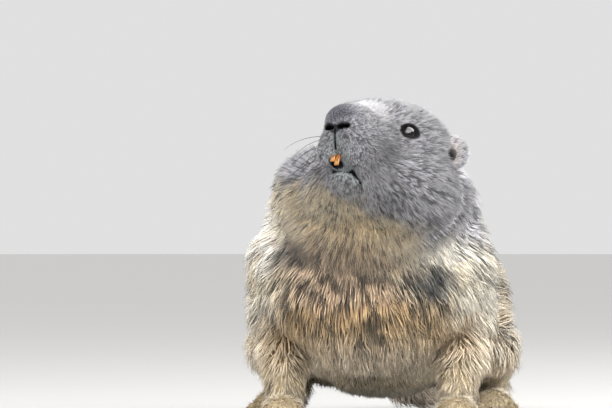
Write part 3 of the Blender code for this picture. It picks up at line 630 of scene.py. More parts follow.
# Grey of the head, down to a slanting edge on the throat and on over the nape
def headGrey(points, local):
    x, y, z = points.T
    edge = z - (151 - 20 * ramp(x, -14, 12) - 18 * ramp(x, 12, 50)) + 5 * waves(points, 26, 12)
    skull = nearness(points, onHead((0, 40, -5)), 70, 52) * ramp(local[:, 2], -38, -30)
    skull = skull * (1 - 0.9 * ramp(local[:, 1], 24, 38) * ramp(edge, 3, -7))
    return np.maximum(ramp(edge, -9, 8) * ramp(y, 20, -30), skull)


# Colour at the root, colour at the tip, the share of dark hairs and that of bare skin at each point
def markings(points):
    x, y, z = points.T
    local = toHead(points)
    back = local[:, 1]
    upper = ramp(z + np.maximum(np.abs(x) - 38, 0) + 6 * waves(points, 40, 11), 58, 118)
    coat = {"root": np.tile(palette["belly"], (len(points), 1)),
            "tip": np.tile(palette["ruff"], (len(points), 1)),
            "dark": 0.08 + 0.2 * upper * ramp(y, -10, 60)}
    paint(coat, upper, "back", "straw")
    paint(coat, upper * ramp(y + 16 * waves(points, 50, 23), -15, 85), None, "backTip")
    paint(coat, ramp(z, 62, 34) * ramp(y, 262, 240), "leg", "straw", 1, 0.5, -0.6)
    paint(coat, ramp(z, 24, 12) * ramp(y, 240, 225), "foot", "straw", 1, 0.5)
    paint(coat, ramp(y, 250, 285), "tail", "flank", 1, 0.7)
    paint(coat, nearness(points, tailTip, 95, 50), "tailEnd")
    paint(coat, nearness(points, tailTip, 85, 45), None, "tailEnd")
    paint(coat, ramp(y, 40, 5) * ramp(z, 72, 86), "ruff", "ruffTip", 0.9)
    paintMarks(coat, points, bodyMarks)
    grey = headGrey(points, local)
    paint(coat, grey, "faceGrey", "facePale", dark=-1)
    paint(coat, grey, dark=0.34)
    crown = patch(local, (0, 52, 42), (38, 40, 26), 0.5, 20)
    darker = np.maximum(0.85 * crown, 0.4 * ramp(local[:, 2], -24, 4) * ramp(back, 92, 70))
    paint(coat, darker, "crown", "crownTip")
    speckled = ramp(waves(local, 15, 21) + 0.6 * waves(local, 8, 22), 0.1, 1.0) * ramp(back, 96, 80)
    paint(coat, speckled * ramp(back, 14, 26), "cheekDark", rootShare=0.35, dark=0.3)
    for word, side in sides:
        paintMarks(coat, local, cheekMarks, side)
    paintMarks(coat, local, muzzleTopMarks, within=ramp(back, 8, 13))
    paintMarks(coat, local, snoutMarks)
    forms = faceForms(points)
    for word, side in sides:
        egg = forms["eye_" + word]
        paint(coat, ramp(egg, 1.75, 1.5) * ramp(egg, 1.2, 1.35), "eyeRing", rootShare=0.8)
        paint(coat, ramp(egg, 1.24, 1.1), "bare", "bare")
        ear = nearness(local, mirrored(earCentre, side), 14, 10)
        paint(coat, ear * ramp(back, 84, 76), "earRim", "muzzleTop", 0.85, 0.6)
        paint(coat, forms["ear_" + word], "earCup", "cheekDark")
        paint(coat, ear, dark=-0.6)
    paintMarks(coat, local, beardMarks)
    bare = np.maximum.reduce([ramp(forms["nostril"], 0.02, 0.3), ramp(forms["philtrum"], 0.3, 0.7),
                              ramp(forms["gape"], 0.05, 0.4), ramp(forms["mouth"], 0.25, 0.6),
                              0.9 * ramp(forms["rhinarium"], 0.1, 0.8)])
    paint(coat, bare, "bare", "bare")
    coat["dark"] = np.clip(coat["dark"], 0, 0.9)
    return {**coat, "bare": bare, "forms": forms}


# A mesh in the model's metres from points and triangles in the animal's millimetres
def meshFromArrays(name, points, faces, smooth=True):
    mesh = bpy.data.meshes.new(name)
    mesh.vertices.add(len(points))
    mesh.vertices.foreach_set("co", toModel(points).astype(np.float32).ravel())
    mesh.loops.add(len(faces) * 3)
    mesh.loops.foreach_set("vertex_index", faces.astype(np.int32).ravel())
    mesh.polygons.add(len(faces))
    mesh.polygons.foreach_set("loop_start", np.arange(0, len(faces) * 3, 3, dtype=np.int32))
    mesh.polygons.foreach_set("use_smooth", np.full(len(faces), smooth))
    mesh.update(calc_edges=True)
    return mesh


def addColours(mesh, name, colours):
    layer = mesh.attributes.new(name, "FLOAT_COLOR", "POINT")
    full = np.column_stack([colours, np.ones(len(colours))])
    layer.data.foreach_set("color", full.astype(np.float32).ravel())


def addNumbers(mesh, name, values):
    layer = mesh.attributes.new(name, "FLOAT", "POINT")
    layer.data.foreach_set("value", values.astype(np.float32))


def addPiece(name, mesh, material):
    mesh.materials.clear()
    mesh.materials.append(material)
    piece = inScene(name, mesh)
    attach(piece, "root")
    return piece


# Undercoat on skin: short dense wool, matt and finely streaked, darker than the hair that covers it
undercoatLook = {"streak": 0.9, "bump": 0.5, "bumpHeight": 0.6, "wool": 0.85, "bare": 0.38,
                 "underHair": 0.72, "darkShare": 0.25}


def makeUndercoat():
    material, tree, shader = newMaterial("denseUndercoatOnSkin", {"Specular IOR Level": 0.1})
    # Streaks about 1 mm apart: the real wool is finer than a pixel, so it is drawn this coarse to show
    streaks = grain(tree, undercoatLook["streak"], 3.0, 0.6)
    shade = spread(tree, streaks, 0.6, 1.25, 0.3, 0.7)
    mixColours(tree, 1.0, attributeOf(tree, "coatTint", "Color"), shade, "MULTIPLY", shader)
    # Bare skin of nostrils and lips is moist and smoother than the wool
    rough = spread(tree, attributeOf(tree, "bareSkin"), undercoatLook["wool"], undercoatLook["bare"])
    tree.links.new(rough, shader.inputs["Roughness"])
    bump = addNode(tree, "ShaderNodeBump", {
        "Height": streaks, "Strength": undercoatLook["bump"], "Distance": undercoatLook["bumpHeight"] * mm})
    tree.links.new(bump.outputs["Normal"], shader.inputs["Normal"])
    return material


undercoat = makeUndercoat()
skinShape.verts.index_update()
skinPoints = verticesOf(skinShape)
skinFaces = np.array([[v.index for v in face.verts] for face in skinShape.faces])
skinShape.free()
skinMesh = meshFromArrays("skin", skinPoints, skinFaces)
onSkin = markings(restPoints)
# Wool is darker than the hair over it, and more so where more of the hairs are dark
furred = undercoatLook["underHair"] * (1 - onSkin["bare"]) + onSkin["bare"]
speckle = 1 - undercoatLook["darkShare"] * onSkin["dark"]
addColours(skinMesh, "coatTint", onSkin["root"] * furred[:, None] * speckle[:, None])
addNumbers(skinMesh, "bareSkin", onSkin["bare"])
skin = addPiece("skin", skinMesh, undercoat)
fleshNodes = [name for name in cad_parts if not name.startswith(("eye", "incisor"))]
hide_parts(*fleshNodes)
print("skin made")


# The coat: tapered blades of three sides, rooted in the skin, that follow the lie and settle on the
# coat's depth
coatSeed = 41
random = np.random.default_rng(coatSeed)


def faceFrames(points, faces):
    a, b, c = points[faces[:, 0]], points[faces[:, 1]], points[faces[:, 2]]
    crossed = np.cross(b - a, c - a)
    return np.linalg.norm(crossed, axis=1) / 2, unitRows(crossed)


def rootsOnSkin(count, density):
    area, normals = faceFrames(skinPoints, skinFaces)
    centres = skinPoints[skinFaces].mean(axis=1)
    reach = np.cumsum(area * density(centres))
    spots = (np.arange(count) + random.random(count)) / count * reach[-1]
    chosen = np.minimum(np.searchsorted(reach, spots), len(skinFaces) - 1)
    u, v = random.random(count), random.random(count)
    over = u + v > 1
    u[over], v[over] = 1 - u[over], 1 - v[over]
    weights = np.stack([1 - u - v, u, v])[:, :, None]
    corners = skinFaces[chosen].T
    roots = (skinPoints[corners] * weights).sum(axis=0)
    return roots, (restPoints[corners] * weights).sum(axis=0) - roots, normals[chosen]


# The way the hair lies: back from the nose, down legs and chest, forward over the feet and along the tail
def lieAt(points):
    lie = unitRows(points - nostrils)
    x, y, z = points.T
    lie[:, 2] -= 0.22 * ramp(y, 60, -20) * nearness(points, nostrils, 90, 150)
    local = toHead(points)
    lips = ramp(np.abs(local[:, 0]), 9, 6) * ramp(local[:, 2], -8, -12) * ramp(local[:, 1], 8, 4)
    lie = mixRows(lie, headAxes @ np.array([0.0, 0.1, -1.0]), lips)
    for word, side in sides:
        fromSkull = unitRows(local - np.array([0.0, 66.0, 2.0])) @ headAxes.T
        lie = mixRows(lie, fromSkull, nearness(local, mirrored(earCentre, side), 14, 11))
    lie = mixRows(lie, (0.0, 0.15, -1.0), ramp(z, 70, 36) * ramp(y, 250, 225) * ramp(np.abs(x), 30, 42))
    lie = mixRows(lie, (0.0, -1.0, -0.15), ramp(z, 20, 12) * ramp(y, 225, 205))
    nearest = np.linalg.norm(points[:, None, :2] - tailLine[None, :-1, :2], axis=2).argmin(axis=1)
    along = unitRows(tailLine[nearest + 1] - tailLine[nearest])
    return unitRows(mixRows(lie, along, ramp(y, 245, 280)))


def tangent(ways, normals):
    return unitRows(ways - normals * (ways * normals).sum(axis=1)[:, None])


def hairLength(points):
    fromNose = apart(points, nostrils)
    x, y, z = points.T
    length = 2.2 + 3.0 * ramp(fromNose, 14, 45) + 6.0 * ramp(fromNose, 50, 95) + 17 * ramp(fromNose, 92, 150)
    local = toHead(points)
    for word, side in sides:
        onEar = nearness(local, mirrored(earCentre, side), 16, 12)
        aroundEye = nearness(local, mirrored(eyeCentre, side), 15, 10)
        length = (length * (1 - onEar) + 3.0 * onEar) * (1 - 0.4 * aroundEye)
    length = length * (1 - 0.4 * nearness(local, (0, 8, -22), 20, 12))
    length = length * (1 - 0.35 * ramp(eggReach(local, (1, 25, 22), (17, 17, 13)), 1.2, 0.8))
    length = length * (1 - 0.5 * ramp(eggReach(local, *nosePad), 1.15, 0.85))
    low = ramp(z, 78, 30) * ramp(y, 262, 240)
    length = length * (1 - 0.62 * low)
    foot = ramp(z, 26, 12) * ramp(y, 240, 225)
    length = length * (1 - foot) + 4.5 * foot
    return length + 14 * ramp(y, 262, 320)


# Blades from their stations: places is stations x hairs x 3, widths per hair, shares along each
def bladeMesh(name, places, outs, widths, thinness, tints, tips, chances, shares, spots):
    stations, count = places.shape[0], places.shape[1]
    ringCount = stations - 1
    taper = (1.0, 0.92, 0.66, 0.4)
    perHair = ringCount * 3 + 1
    points = np.zeros((count, perHair, 3))
    for ring in range(ringCount):
        along = unitRows(places[ring + 1] - places[ring])
        across = unitRows(np.cross(along, outs))
        upward = np.cross(across, along)
        half = (widths * taper[ring] / 2)[:, None]
        points[:, ring * 3] = places[ring] - across * half
        points[:, ring * 3 + 1] = places[ring] + across * half
        points[:, ring * 3 + 2] = places[ring] + upward * half * thinness
    points[:, -1] = places[-1]
    last = ringCount * 3 - 3
    one = [(0, 2, 1)] + ringFaces(ringCount, 3)
    one += [(last + k, last + (k + 1) % 3, perHair - 1) for k in range(3)]
    faces = (np.array(one)[None] + (np.arange(count) * perHair)[:, None, None]).reshape(-1, 3)
    flat = points.reshape(-1, 3)
    flat[:, 2] = np.maximum(flat[:, 2], 0.2)
    mesh = meshFromArrays(name, flat, faces)
    along = np.concatenate([np.repeat(shares[:-1], 3), [1.0]])
    blend = ramp(along, 0.0, 0.8)[None, :, None]
    colours = tints[:, None] * (1 - blend) + tips[:, None] * blend
    addColours(mesh, "hairTint", colours.reshape(-1, 3))
    addNumbers(mesh, "along", np.tile(along, count))
    addNumbers(mesh, "chance", np.repeat(chances, perHair))
    layer = mesh.uv_layers.new(name="OFBake")
    corner = np.stack([np.tile((np.arange(perHair) % 3) / 2.0, count), np.tile(along, count)], axis=1)
    onMap = np.repeat(spots, perHair, axis=0) + (corner - 0.5) * 0.003
    layer.data.foreach_set("uv", onMap[faces.ravel()].astype(np.float32).ravel())
    return mesh


# Each root's place on an unwrap of the skin round the nose-to-tail line, spread over the whole map
def unwrapSpots(points):
    centreX = np.interp(points[:, 1], [-130, -60, 0, 260, 416], [-6, 8, 0, 0, 58])
    centreZ = np.interp(points[:, 1], [-130, -60, 0, 260, 416], [170, 150, 96, 70, 16])
    turn = np.arctan2(points[:, 0] - centreX, points[:, 2] - centreZ) / (2 * pi) + 0.5
    order = np.empty(len(points))
    order[np.argsort(points[:, 1])] = np.linspace(0, 1, len(points))
    return 0.01 + 0.98 * np.column_stack([turn, order])


# One piece of coat for each list of hairs
def addCoat(word, pieces, way, shares, hairs, thinness, material, slots):
    for number, (part, slot) in enumerate(zip(pieces, slots)):
        name = f"coat_{word}_{number}"
        normals, widths, root, tip, chances, roots = (rows[part] for rows in hairs)
        mesh = bladeMesh(name, way[:, part], normals, widths, thinness, root, tip, chances, np.array(shares),
                         unwrapSpots(roots))
        addPiece(name, mesh, material)
        print(name, len(part), "hairs,", len(mesh.polygons), "triangles")


hairLook = {
    "face": {"rootShade": 0.68, "tipLight": 1.1, "unevenness": 0.35},
    "body": {"rootShade": 0.9, "tipLight": 1.15, "unevenness": 0.3},
}


# Guard hair: keratin, half matt with a soft sheen, dark at the root and pale at the tip
def makeHair(name, look):
    material, tree, shader = newMaterial(name, {"Roughness": 0.55, "IOR": 1.55, "Specular IOR Level": 0.35,
                                                "Sheen Weight": 0.12, "Sheen Roughness": 0.5})
    lengthwise = spread(tree, attributeOf(tree, "along"), look["rootShade"], look["tipLight"])
    uneven = spread(tree, attributeOf(tree, "chance"), 1 - look["unevenness"], 1 + look["unevenness"])
    both = addNode(tree, "ShaderNodeMath", {0: lengthwise, 1: uneven}, operation="MULTIPLY").outputs[0]
    mixColours(tree, 1.0, attributeOf(tree, "hairTint", "Color"), both, "MULTIPLY", shader)
    return material


faceHair = makeHair("shortFaceHair", hairLook["face"])
bodyHair = makeHair("longGuardHair", hairLook["body"])


# Colours of single hairs: some are dark all along, the rest go from the root colour to the tip colour.
# chances run evenly from 0 to 1 and are alike within a clump
def hairColours(roots, ends, toRest, chances):
    here, there = markings(roots + toRest), markings(ends + toRest)
    isDark = chances < 0.5 * (here["dark"] + there["dark"])
    shade = random.random(len(roots))
    root = here["root"] * np.where(isDark, 0.18 + 0.2 * shade, 0.75 + 0.35 * shade)[:, None]
    tip = there["tip"] * np.where(isDark, 0.12 + 0.2 * shade, 0.75 + 0.25 * shade)[:, None]
    return root, tip, isFurred(here) & isFurred(there)


# Whether a point is clear of bare skin, eyes and ear cups
def isFurred(coat):
    keep = coat["bare"] < 0.2
    for word, side in sides:
        keep &= (coat["forms"]["eye_" + word] > 1.15) & (coat["forms"]["ear_" + word] < 0.3)
    return keep


# Each hair's clump: the nearest of the leaders, which are a share of the hairs
def clumpsOf(roots, perClump):
    leaders = random.choice(len(roots), int(len(roots) / perClump), replace=False)
    tree = kdtree.KDTree(len(leaders))
    for number, leader in enumerate(leaders):
        tree.insert(Vector(roots[leader]), number)
    tree.balance()
    return leaders[np.array([tree.find(Vector(place))[1] for place in roots])]


# Even chances from 0 to 1, by this share the clump's own
def clumpChances(nearest, share):
    mixed = (1 - share) * random.random(len(nearest)) + share * random.random(len(nearest))[nearest]
    chances = np.empty(len(nearest))
    chances[np.argsort(mixed)] = np.linspace(0, 1, len(nearest))
    return chances


shortPlan = {"count": 140000, "pieces": 3, "width": 0.46, "lift": 20, "thinness": 0.7, "clump": 6.0,
             "unruly": 0.18, "sunk": 0.3, "clumpShare": 0.75}
longPlan = {
    "count": 80000, "width": 0.95, "clump": 12.0, "thinness": 0.6, "shortUnder": 16.0,
    "unruly": 0.16, "sunk": 0.6, "shortSlots": ["ruff_fur", "ruff_fur"],
    "longSlots": ["ruff_fur", "ruff_fur", "body_fur", "body_fur", "tail_fur"],
    # Tufts that stand out: place, reach, how much higher and how much longer
    "tufts": [((-54, -44, 150), (20, 46, 14), 5.0, 4.0), ((-68, -30, 116), (20, 46, 15), 3.0, 6.0),
              ((60, -26, 142), (18, 44, 24), 3.0, 3.0), ((50, -46, 104), (34, 34, 14), 4.0, 4.0)],
}


def earNearness(points):
    local = toHead(points)
    nearest = np.minimum(*[apart(local, mirrored(earCentre, side)) for word, side in sides])
    return ramp(nearest, 16, 12)


def shortDensity(points):
    fromNose = apart(points, nostrils)
    onFeet = ramp(points[:, 2], 30, 18) * ramp(points[:, 1], 240, 225)
    onHeadNow = np.maximum(ramp(fromNose, 112, 96), earNearness(points))
    return onHeadNow * (1 + 0.9 * ramp(fromNose, 60, 25)) + 0.35 * onFeet * (points[:, 2] > 1.5)


def longDensity(points):
    fromNose = apart(points, nostrils)
    x, y, z = points.T
    onEar = earNearness(points)
    low = ramp(z, 30, 18) * ramp(y, 240, 225)
    nearer = 1.0 + 1.3 * ramp(fromNose, 230, 150) + 0.5 * ramp(y, 262, 290)
    under = 1 - 0.6 * ramp(z, 40, 20) * ramp(np.abs(x), 50, 30)
    return ramp(fromNose, 72, 98) * nearer * (1 - low) * under * (1 - onEar)


def makeShortCoat():
    roots, toRest, normals = rootsOnSkin(shortPlan["count"], shortDensity)
    count = len(roots)
    ways = tangent(lieAt(roots) + random.normal(size=(count, 3)) * shortPlan["unruly"], normals)
    lift = np.radians(shortPlan["lift"] * (0.5 + 1.0 * random.random(count)))[:, None]
    length = (hairLength(roots) * (0.7 + 0.6 * random.random(count)))[:, None]
    tips = roots + ways * np.cos(lift) * length + normals * np.sin(lift) * length
    nearest = clumpsOf(roots, shortPlan["clump"])
    tips += (tips[nearest] - tips) * (0.25 + 0.4 * random.random(count))[:, None]
    places = np.stack([roots - normals * shortPlan["sunk"], tips])
    widths = shortPlan["width"] * (0.6 + 0.6 * random.random(count))
    widths = widths * (0.75 + 0.6 * ramp(length[:, 0], 3.5, 8))
    chances = clumpChances(nearest, shortPlan["clumpShare"])
    root, tip, keep = hairColours(roots, tips, toRest, chances)
    hairs = [rows[keep] for rows in (normals, widths, root, tip, chances, roots)]
    pieces = np.array_split(np.argsort(roots[keep][:, 0]), shortPlan["pieces"])
    addCoat("face", pieces, places[:, keep], (0.0, 1.0), hairs, shortPlan["thinness"], faceHair,
            ["head_fur"] * len(pieces))


def makeLongCoat():
    roots, toRest, normals = rootsOnSkin(longPlan["count"], longDensity)
    count = len(roots)
    shares = np.array([0.0, 0.38, 0.72, 1.0])
    length = hairLength(roots) * (0.7 + 0.6 * random.random(count))
    stands = np.zeros(count)
    for centre, radii, rise, longer in longPlan["tufts"]:
        share = patch(roots, centre, radii, 0.4, 31)
        stands += share * rise
        length = length + share * longer
    depth = skinDepth(roots)
    tipHeight = np.minimum(depth * (0.5 + 0.95 * random.random(count) ** 1.5) + 0.6, length * 0.62)
    tipHeight = tipHeight + stands * (0.4 + 0.6 * random.random(count))
    wobble = random.normal(size=(count, 3)) * longPlan["unruly"]
    places = [roots - normals * longPlan["sunk"]]
    here = roots
    for before, share in zip(shares, shares[1:]):
        out = slope(here, bodyItems)
        ways = tangent(lieAt(here) + wobble, out)
        here = here + ways * (length * (share - before))[:, None]
        out = slope(here, bodyItems)
        rise = tipHeight * share ** 0.75
        here = here + out * (rise - distance(here, bodyItems))[:, None]
        places.append(here)
    places = np.stack(places)
    # Hairs gather in pointed clumps
    nearest = clumpsOf(roots, longPlan["clump"])
    pull = (0.35 + 0.5 * random.random(count)) * (0.4 + 0.6 * ramp(length, 10, 20))
    toLeader = places[:, nearest] - places
    for station, share in enumerate(shares):
        places[station] += toLeader[station] * (pull * share ** 1.4)[:, None]
    widths = longPlan["width"] * (0.6 + 0.7 * random.random(count)) * (0.6 + 0.4 * ramp(length, 8, 22))
    chances = clumpChances(nearest, 0.45 + 0.3 * ramp(roots[:, 1], 50, -10))
    root, tip, keep = hairColours(roots, places[3] * 0.7 + places[2] * 0.3, toRest, chances)
    hairs = [rows[keep] for rows in (normals, widths, root, tip, chances, roots)]
    places, length, roots = places[:, keep], length[keep], roots[keep]
    order = np.argsort(roots[:, 1] - 0.35 * roots[:, 2])
    isShort = length[order] < longPlan["shortUnder"]
    # The shorter hairs bend once and the longer ones twice
    once = np.stack([places[0], (places[1] + places[2]) / 2, places[3]])
    for word, chosen, way, shareList in (("short", order[isShort], once, (0.0, 0.55, 1.0)),
                                         ("long", order[~isShort], places, shares)):
        slots = longPlan[word + "Slots"]
        addCoat(word, np.array_split(chosen, len(slots)), way, shareList, hairs, longPlan["thinness"],
                bodyHair, slots)


makeShortCoat()
makeLongCoat()


# Eyes: a clear wet cornea over a nearly black iris reads as one glossy black bead
eyePlan = {"radius": 7.0, "bulge": 0.5, "lidRadius": 7.35, "lidThickness": 0.75, "lidOpening": (6.6, 4.4)}


def makeEyes():
    material, tree, shader = newMaterial("wetBlackEye", {"Roughness": 0.06, "IOR": 1.34})
    irisTones = [(0.28, "#050405"), (0.45, "#120b08"), (0.95, "#0b0808")]
    iris = colourBand(tree, attributeOf(tree, "ring"), irisTones)
    tree.links.new(iris, shader.inputs["Base Color"])
    # Moist lid skin, almost without gloss; the lower lid's inner edge is a pale painted reflection of its wet
    # rim
    lidSkin, tree, shader = newMaterial("moistLidSkin", {"Roughness": 0.6, "Specular IOR Level": 0.04})
    mottled = mixColours(tree, grain(tree, 0.8), opaque("#040304"), opaque("#0b090b"))
    mixColours(tree, attributeOf(tree, "paintedLidReflection"), mottled, opaque("#9c979c"), shader=shader)
    for word, side in sides:
        centre = onHead(mirrored(eyeCentre, side))
        axes = headAxes @ eyeAxes(side)
        shape = bmesh.new()
        bmesh.ops.create_uvsphere(shape, u_segments=64, v_segments=40, radius=1.0)
        local = verticesOf(shape)[:, [2, 0, 1]]      # the sphere's pole looks out of the head
        turned = np.degrees(np.arccos(np.clip(local[:, 0], -1, 1)))
        grown = eyePlan["radius"] + eyePlan["bulge"] * np.exp(-(turned / 38) ** 2)
        placeVertices(shape, toModel(centre + (local * grown[:, None]) @ axes.T))
        bmesh.ops.recalc_face_normals(shape, faces=shape.faces)
        mesh = bpy.data.meshes.new("eyeball_" + word)
        shape.to_mesh(mesh)
        shape.free()
        mesh.shade_smooth()
        addNumbers(mesh, "ring", np.clip(turned / 60, 0, 1))
        eyeball = addPiece("eyeball_" + word, mesh, material)
        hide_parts("eye_" + word)
        # The lids' rims: one closed ring round the opening, thicker above
        wide, high = eyePlan["lidOpening"]
        ringSides, steps = 10, 72
        points, reflectionShare = [], []
        for step in range(steps):
            turn = 2 * pi * step / steps
            inner = max(0.0, -side * cos(turn))
            across = wide * cos(turn) * (1 + 0.1 * inner)
            up = high * sin(turn) * abs(sin(turn)) ** 0.2 - 0.9 * inner ** 2
            corner = abs(cos(turn)) ** 6
            radius = eyePlan["lidThickness"] / 2 * (1.1 if sin(turn) > 0 else 0.8) * (1 - 0.35 * corner)
            out = np.sqrt(max(eyePlan["lidRadius"] ** 2 - across ** 2 - up ** 2, 0.5))
            middle = np.array([out, across, up])
            outward = unit(middle)
            sideways = unit(np.array([0.0, cos(turn) / wide, sin(turn) / high]))
            sideways = unit(sideways - outward * (sideways @ outward))
            for k in range(ringSides):
                angle = 2 * pi * k / ringSides
                onRing = cos(angle) * outward + sin(angle) * sideways
                points.append(centre + axes @ (middle + radius * onRing))
                # The pale painted reflection lies on the ring's inner side, along the lower lid
                inside = 1.0 if cos(angle) - 1.2 * sin(angle) > 0.9 else 0.0
                reflectionShare.append(inside * max(0.0, min(1.0, -2.2 * sin(turn) - 0.5)))
        faces = ringFaces(steps, ringSides, joined=True)
        rimMesh = meshFromArrays("lids_" + word, np.array(points), np.array(faces))
        turnOutwards(rimMesh)
        addNumbers(rimMesh, "paintedLidReflection", np.array(reflectionShare))
        addPiece("lids_" + word, rimMesh, lidSkin)


makeEyes()
print("eyes made")


# A tree that turns paths into tapered rods: whiskers and claws
def makeRodTree():
    tree = bpy.data.node_groups.new("taperedRods", "GeometryNodeTree")
    tree.interface.new_socket("Geometry", in_out="INPUT", socket_type="NodeSocketGeometry")
    inputs = {}
    for name, kind in (("Thickness", "NodeSocketFloat"), ("Tip share", "NodeSocketFloat"),
                       ("Sides", "NodeSocketInt"), ("Finish", "NodeSocketMaterial")):
        inputs[name] = tree.interface.new_socket(name, in_out="INPUT", socket_type=kind).identifier
    tree.interface.new_socket("Geometry", in_out="OUTPUT", socket_type="NodeSocketGeometry")
    given = addNode(tree, "NodeGroupInput")
    paths = addNode(tree, "GeometryNodeMeshToCurve", {"Mesh": given.outputs["Geometry"]})
    along = addNode(tree, "GeometryNodeSplineParameter")
    narrowing = addNode(tree, "ShaderNodeMapRange", {
        "Value": along.outputs["Factor"], "To Min": 1.0, "To Max": given.outputs["Tip share"]})
    narrowed = addNode(tree, "GeometryNodeSetCurveRadius", {
        "Curve": paths.outputs["Curve"], "Radius": narrowing.outputs["Result"]})
    half = addNode(tree, "ShaderNodeMath", {0: given.outputs["Thickness"], 1: 0.5}, operation="MULTIPLY")
    section = addNode(tree, "GeometryNodeCurvePrimitiveCircle", {
        "Resolution": given.outputs["Sides"], "Radius": half.outputs[0]})
    rods = addNode(tree, "GeometryNodeCurveToMesh", {
        "Curve": narrowed.outputs["Curve"], "Profile Curve": section.outputs["Curve"],
        "Scale": narrowing.outputs["Result"], "Fill Caps": True})
    plain = addNode(tree, "GeometryNodeRealizeInstances", {"Geometry": rods.outputs["Mesh"]})
    finished = addNode(tree, "GeometryNodeSetMaterial", {
        "Geometry": plain.outputs["Geometry"], "Material": given.outputs["Finish"]})
    addNode(tree, "NodeGroupOutput", {"Geometry": finished.outputs["Geometry"]})
    return tree, inputs


rodTree, rodInputs = makeRodTree()


def makeRods(name, paths, plan, material):
    points, edges = [], []
    for path in paths:
        start = len(points)
        points += [toModel(point) for point in path]
        edges += [(start + k, start + k + 1) for k in range(len(path) - 1)]
    mesh = bpy.data.meshes.new(name + "Paths")
    mesh.from_pydata([tuple(point) for point in points], edges, [])
    carrier = inScene(name + "Paths", mesh)
    rods = carrier.modifiers.new("rods", "NODES")
    rods.node_group = rodTree
    rods[rodInputs["Thickness"]] = plan["thickness"] * mm
    rods[rodInputs["Tip share"]] = plan["tipShare"]
    rods[rodInputs["Sides"]] = plan["rodSides"]
    rods[rodInputs["Finish"]] = material
    made = takeMesh(carrier)
    made.name = name
    turnOutwards(made)
    made.shade_smooth()
    return addPiece(name, made, material)


clawPlan = {"thickness": 4.2, "tipShare": 0.2, "rodSides": 10, "grain": 1.5,
            "path": ((0, 1.0, 1.0), (0, -9.0, 2.6), (0, -13.3, -2.2))}      # from the tip of the toe


# Claw horn: dark keratin with paler streaks, half glossy
def makeClaws():
    material, tree, shader = newMaterial("darkClawHorn", {"Roughness": 0.36})
    streaks = grain(tree, clawPlan["grain"], 4.0)
    mixColours(tree, streaks, opaque("#17120f"), opaque("#4b3d31"), shader=shader)
    for word, side in sides:
        for foot, fore in (("fore", True), ("hind", False)):
            paths = []
            for root, tip, radius in toesOf(side, fore):
                start, bend, point = (tip + np.array(place) for place in clawPlan["path"])
                paths.append([(1 - t) ** 2 * start + 2 * t * (1 - t) * bend + t * t * point
                              for t in np.linspace(0, 1, 8)])
            makeRods(f"claws_{foot}_{word}", paths, clawPlan, material)


makeClaws()

whiskerPlan = {"rows": 5, "perRow": 5, "length": 50.0, "thickness": 0.44, "tipShare": 0.25, "rodSides": 5,
               "seed": 5, "tone": 1000 / 60}


# Whisker: stiff dark keratin, some lengths paler, half glossy
def makeWhiskers():
    dark, tree, shader = newMaterial("darkWhisker", {"Roughness": 0.4})
    mixColours(tree, grain(tree, whiskerPlan["tone"]), opaque("#0b090a"), opaque("#4d494a"), shader=shader)
    chance = np.random.default_rng(whiskerPlan["seed"])
    for word, side in sides:
        paths = []
        for row in range(whiskerPlan["rows"]):
            for place in range(whiskerPlan["perRow"]):
                root = np.array([side * (13.0 + 0.6 * place), 6 + 4.2 * place,
                                 -3.0 - 4.6 * row + 0.5 * place])
                length = whiskerPlan["length"] * (0.65 + 0.4 * chance.random()) * (0.7 + 0.09 * place)
                way = unit([side * (1.0 - 0.06 * place), 0.12 + 0.2 * place + 0.1 * chance.normal(),
                            0.22 - 0.14 * row + 0.06 * chance.normal()])
                bend = np.array([0, 0.35, -0.22]) * length
                start = root - 3 * way * np.array([1, 0.3, 0.3])
                paths.append([onHead(start + way * length * t + bend * t * t) for t in np.linspace(0, 1, 9)])
        makeRods("whiskers_" + word, paths, whiskerPlan, dark)


makeWhiskers()
print("claws and whiskers made")


# Upper incisors: orange enamel in front, glossy, stained darker at the gum and worn pale at the chisel edge
incisorPlan = {"width": 2.9, "thickness": 2.6, "top": -10.5, "squareness": 0.62,
               "stations": 10, "ringSides": 14,
               "teeth": {"right": (-4.1, -20.2), "left": (-1.1, -22.6)}}      # sideways, lower edge


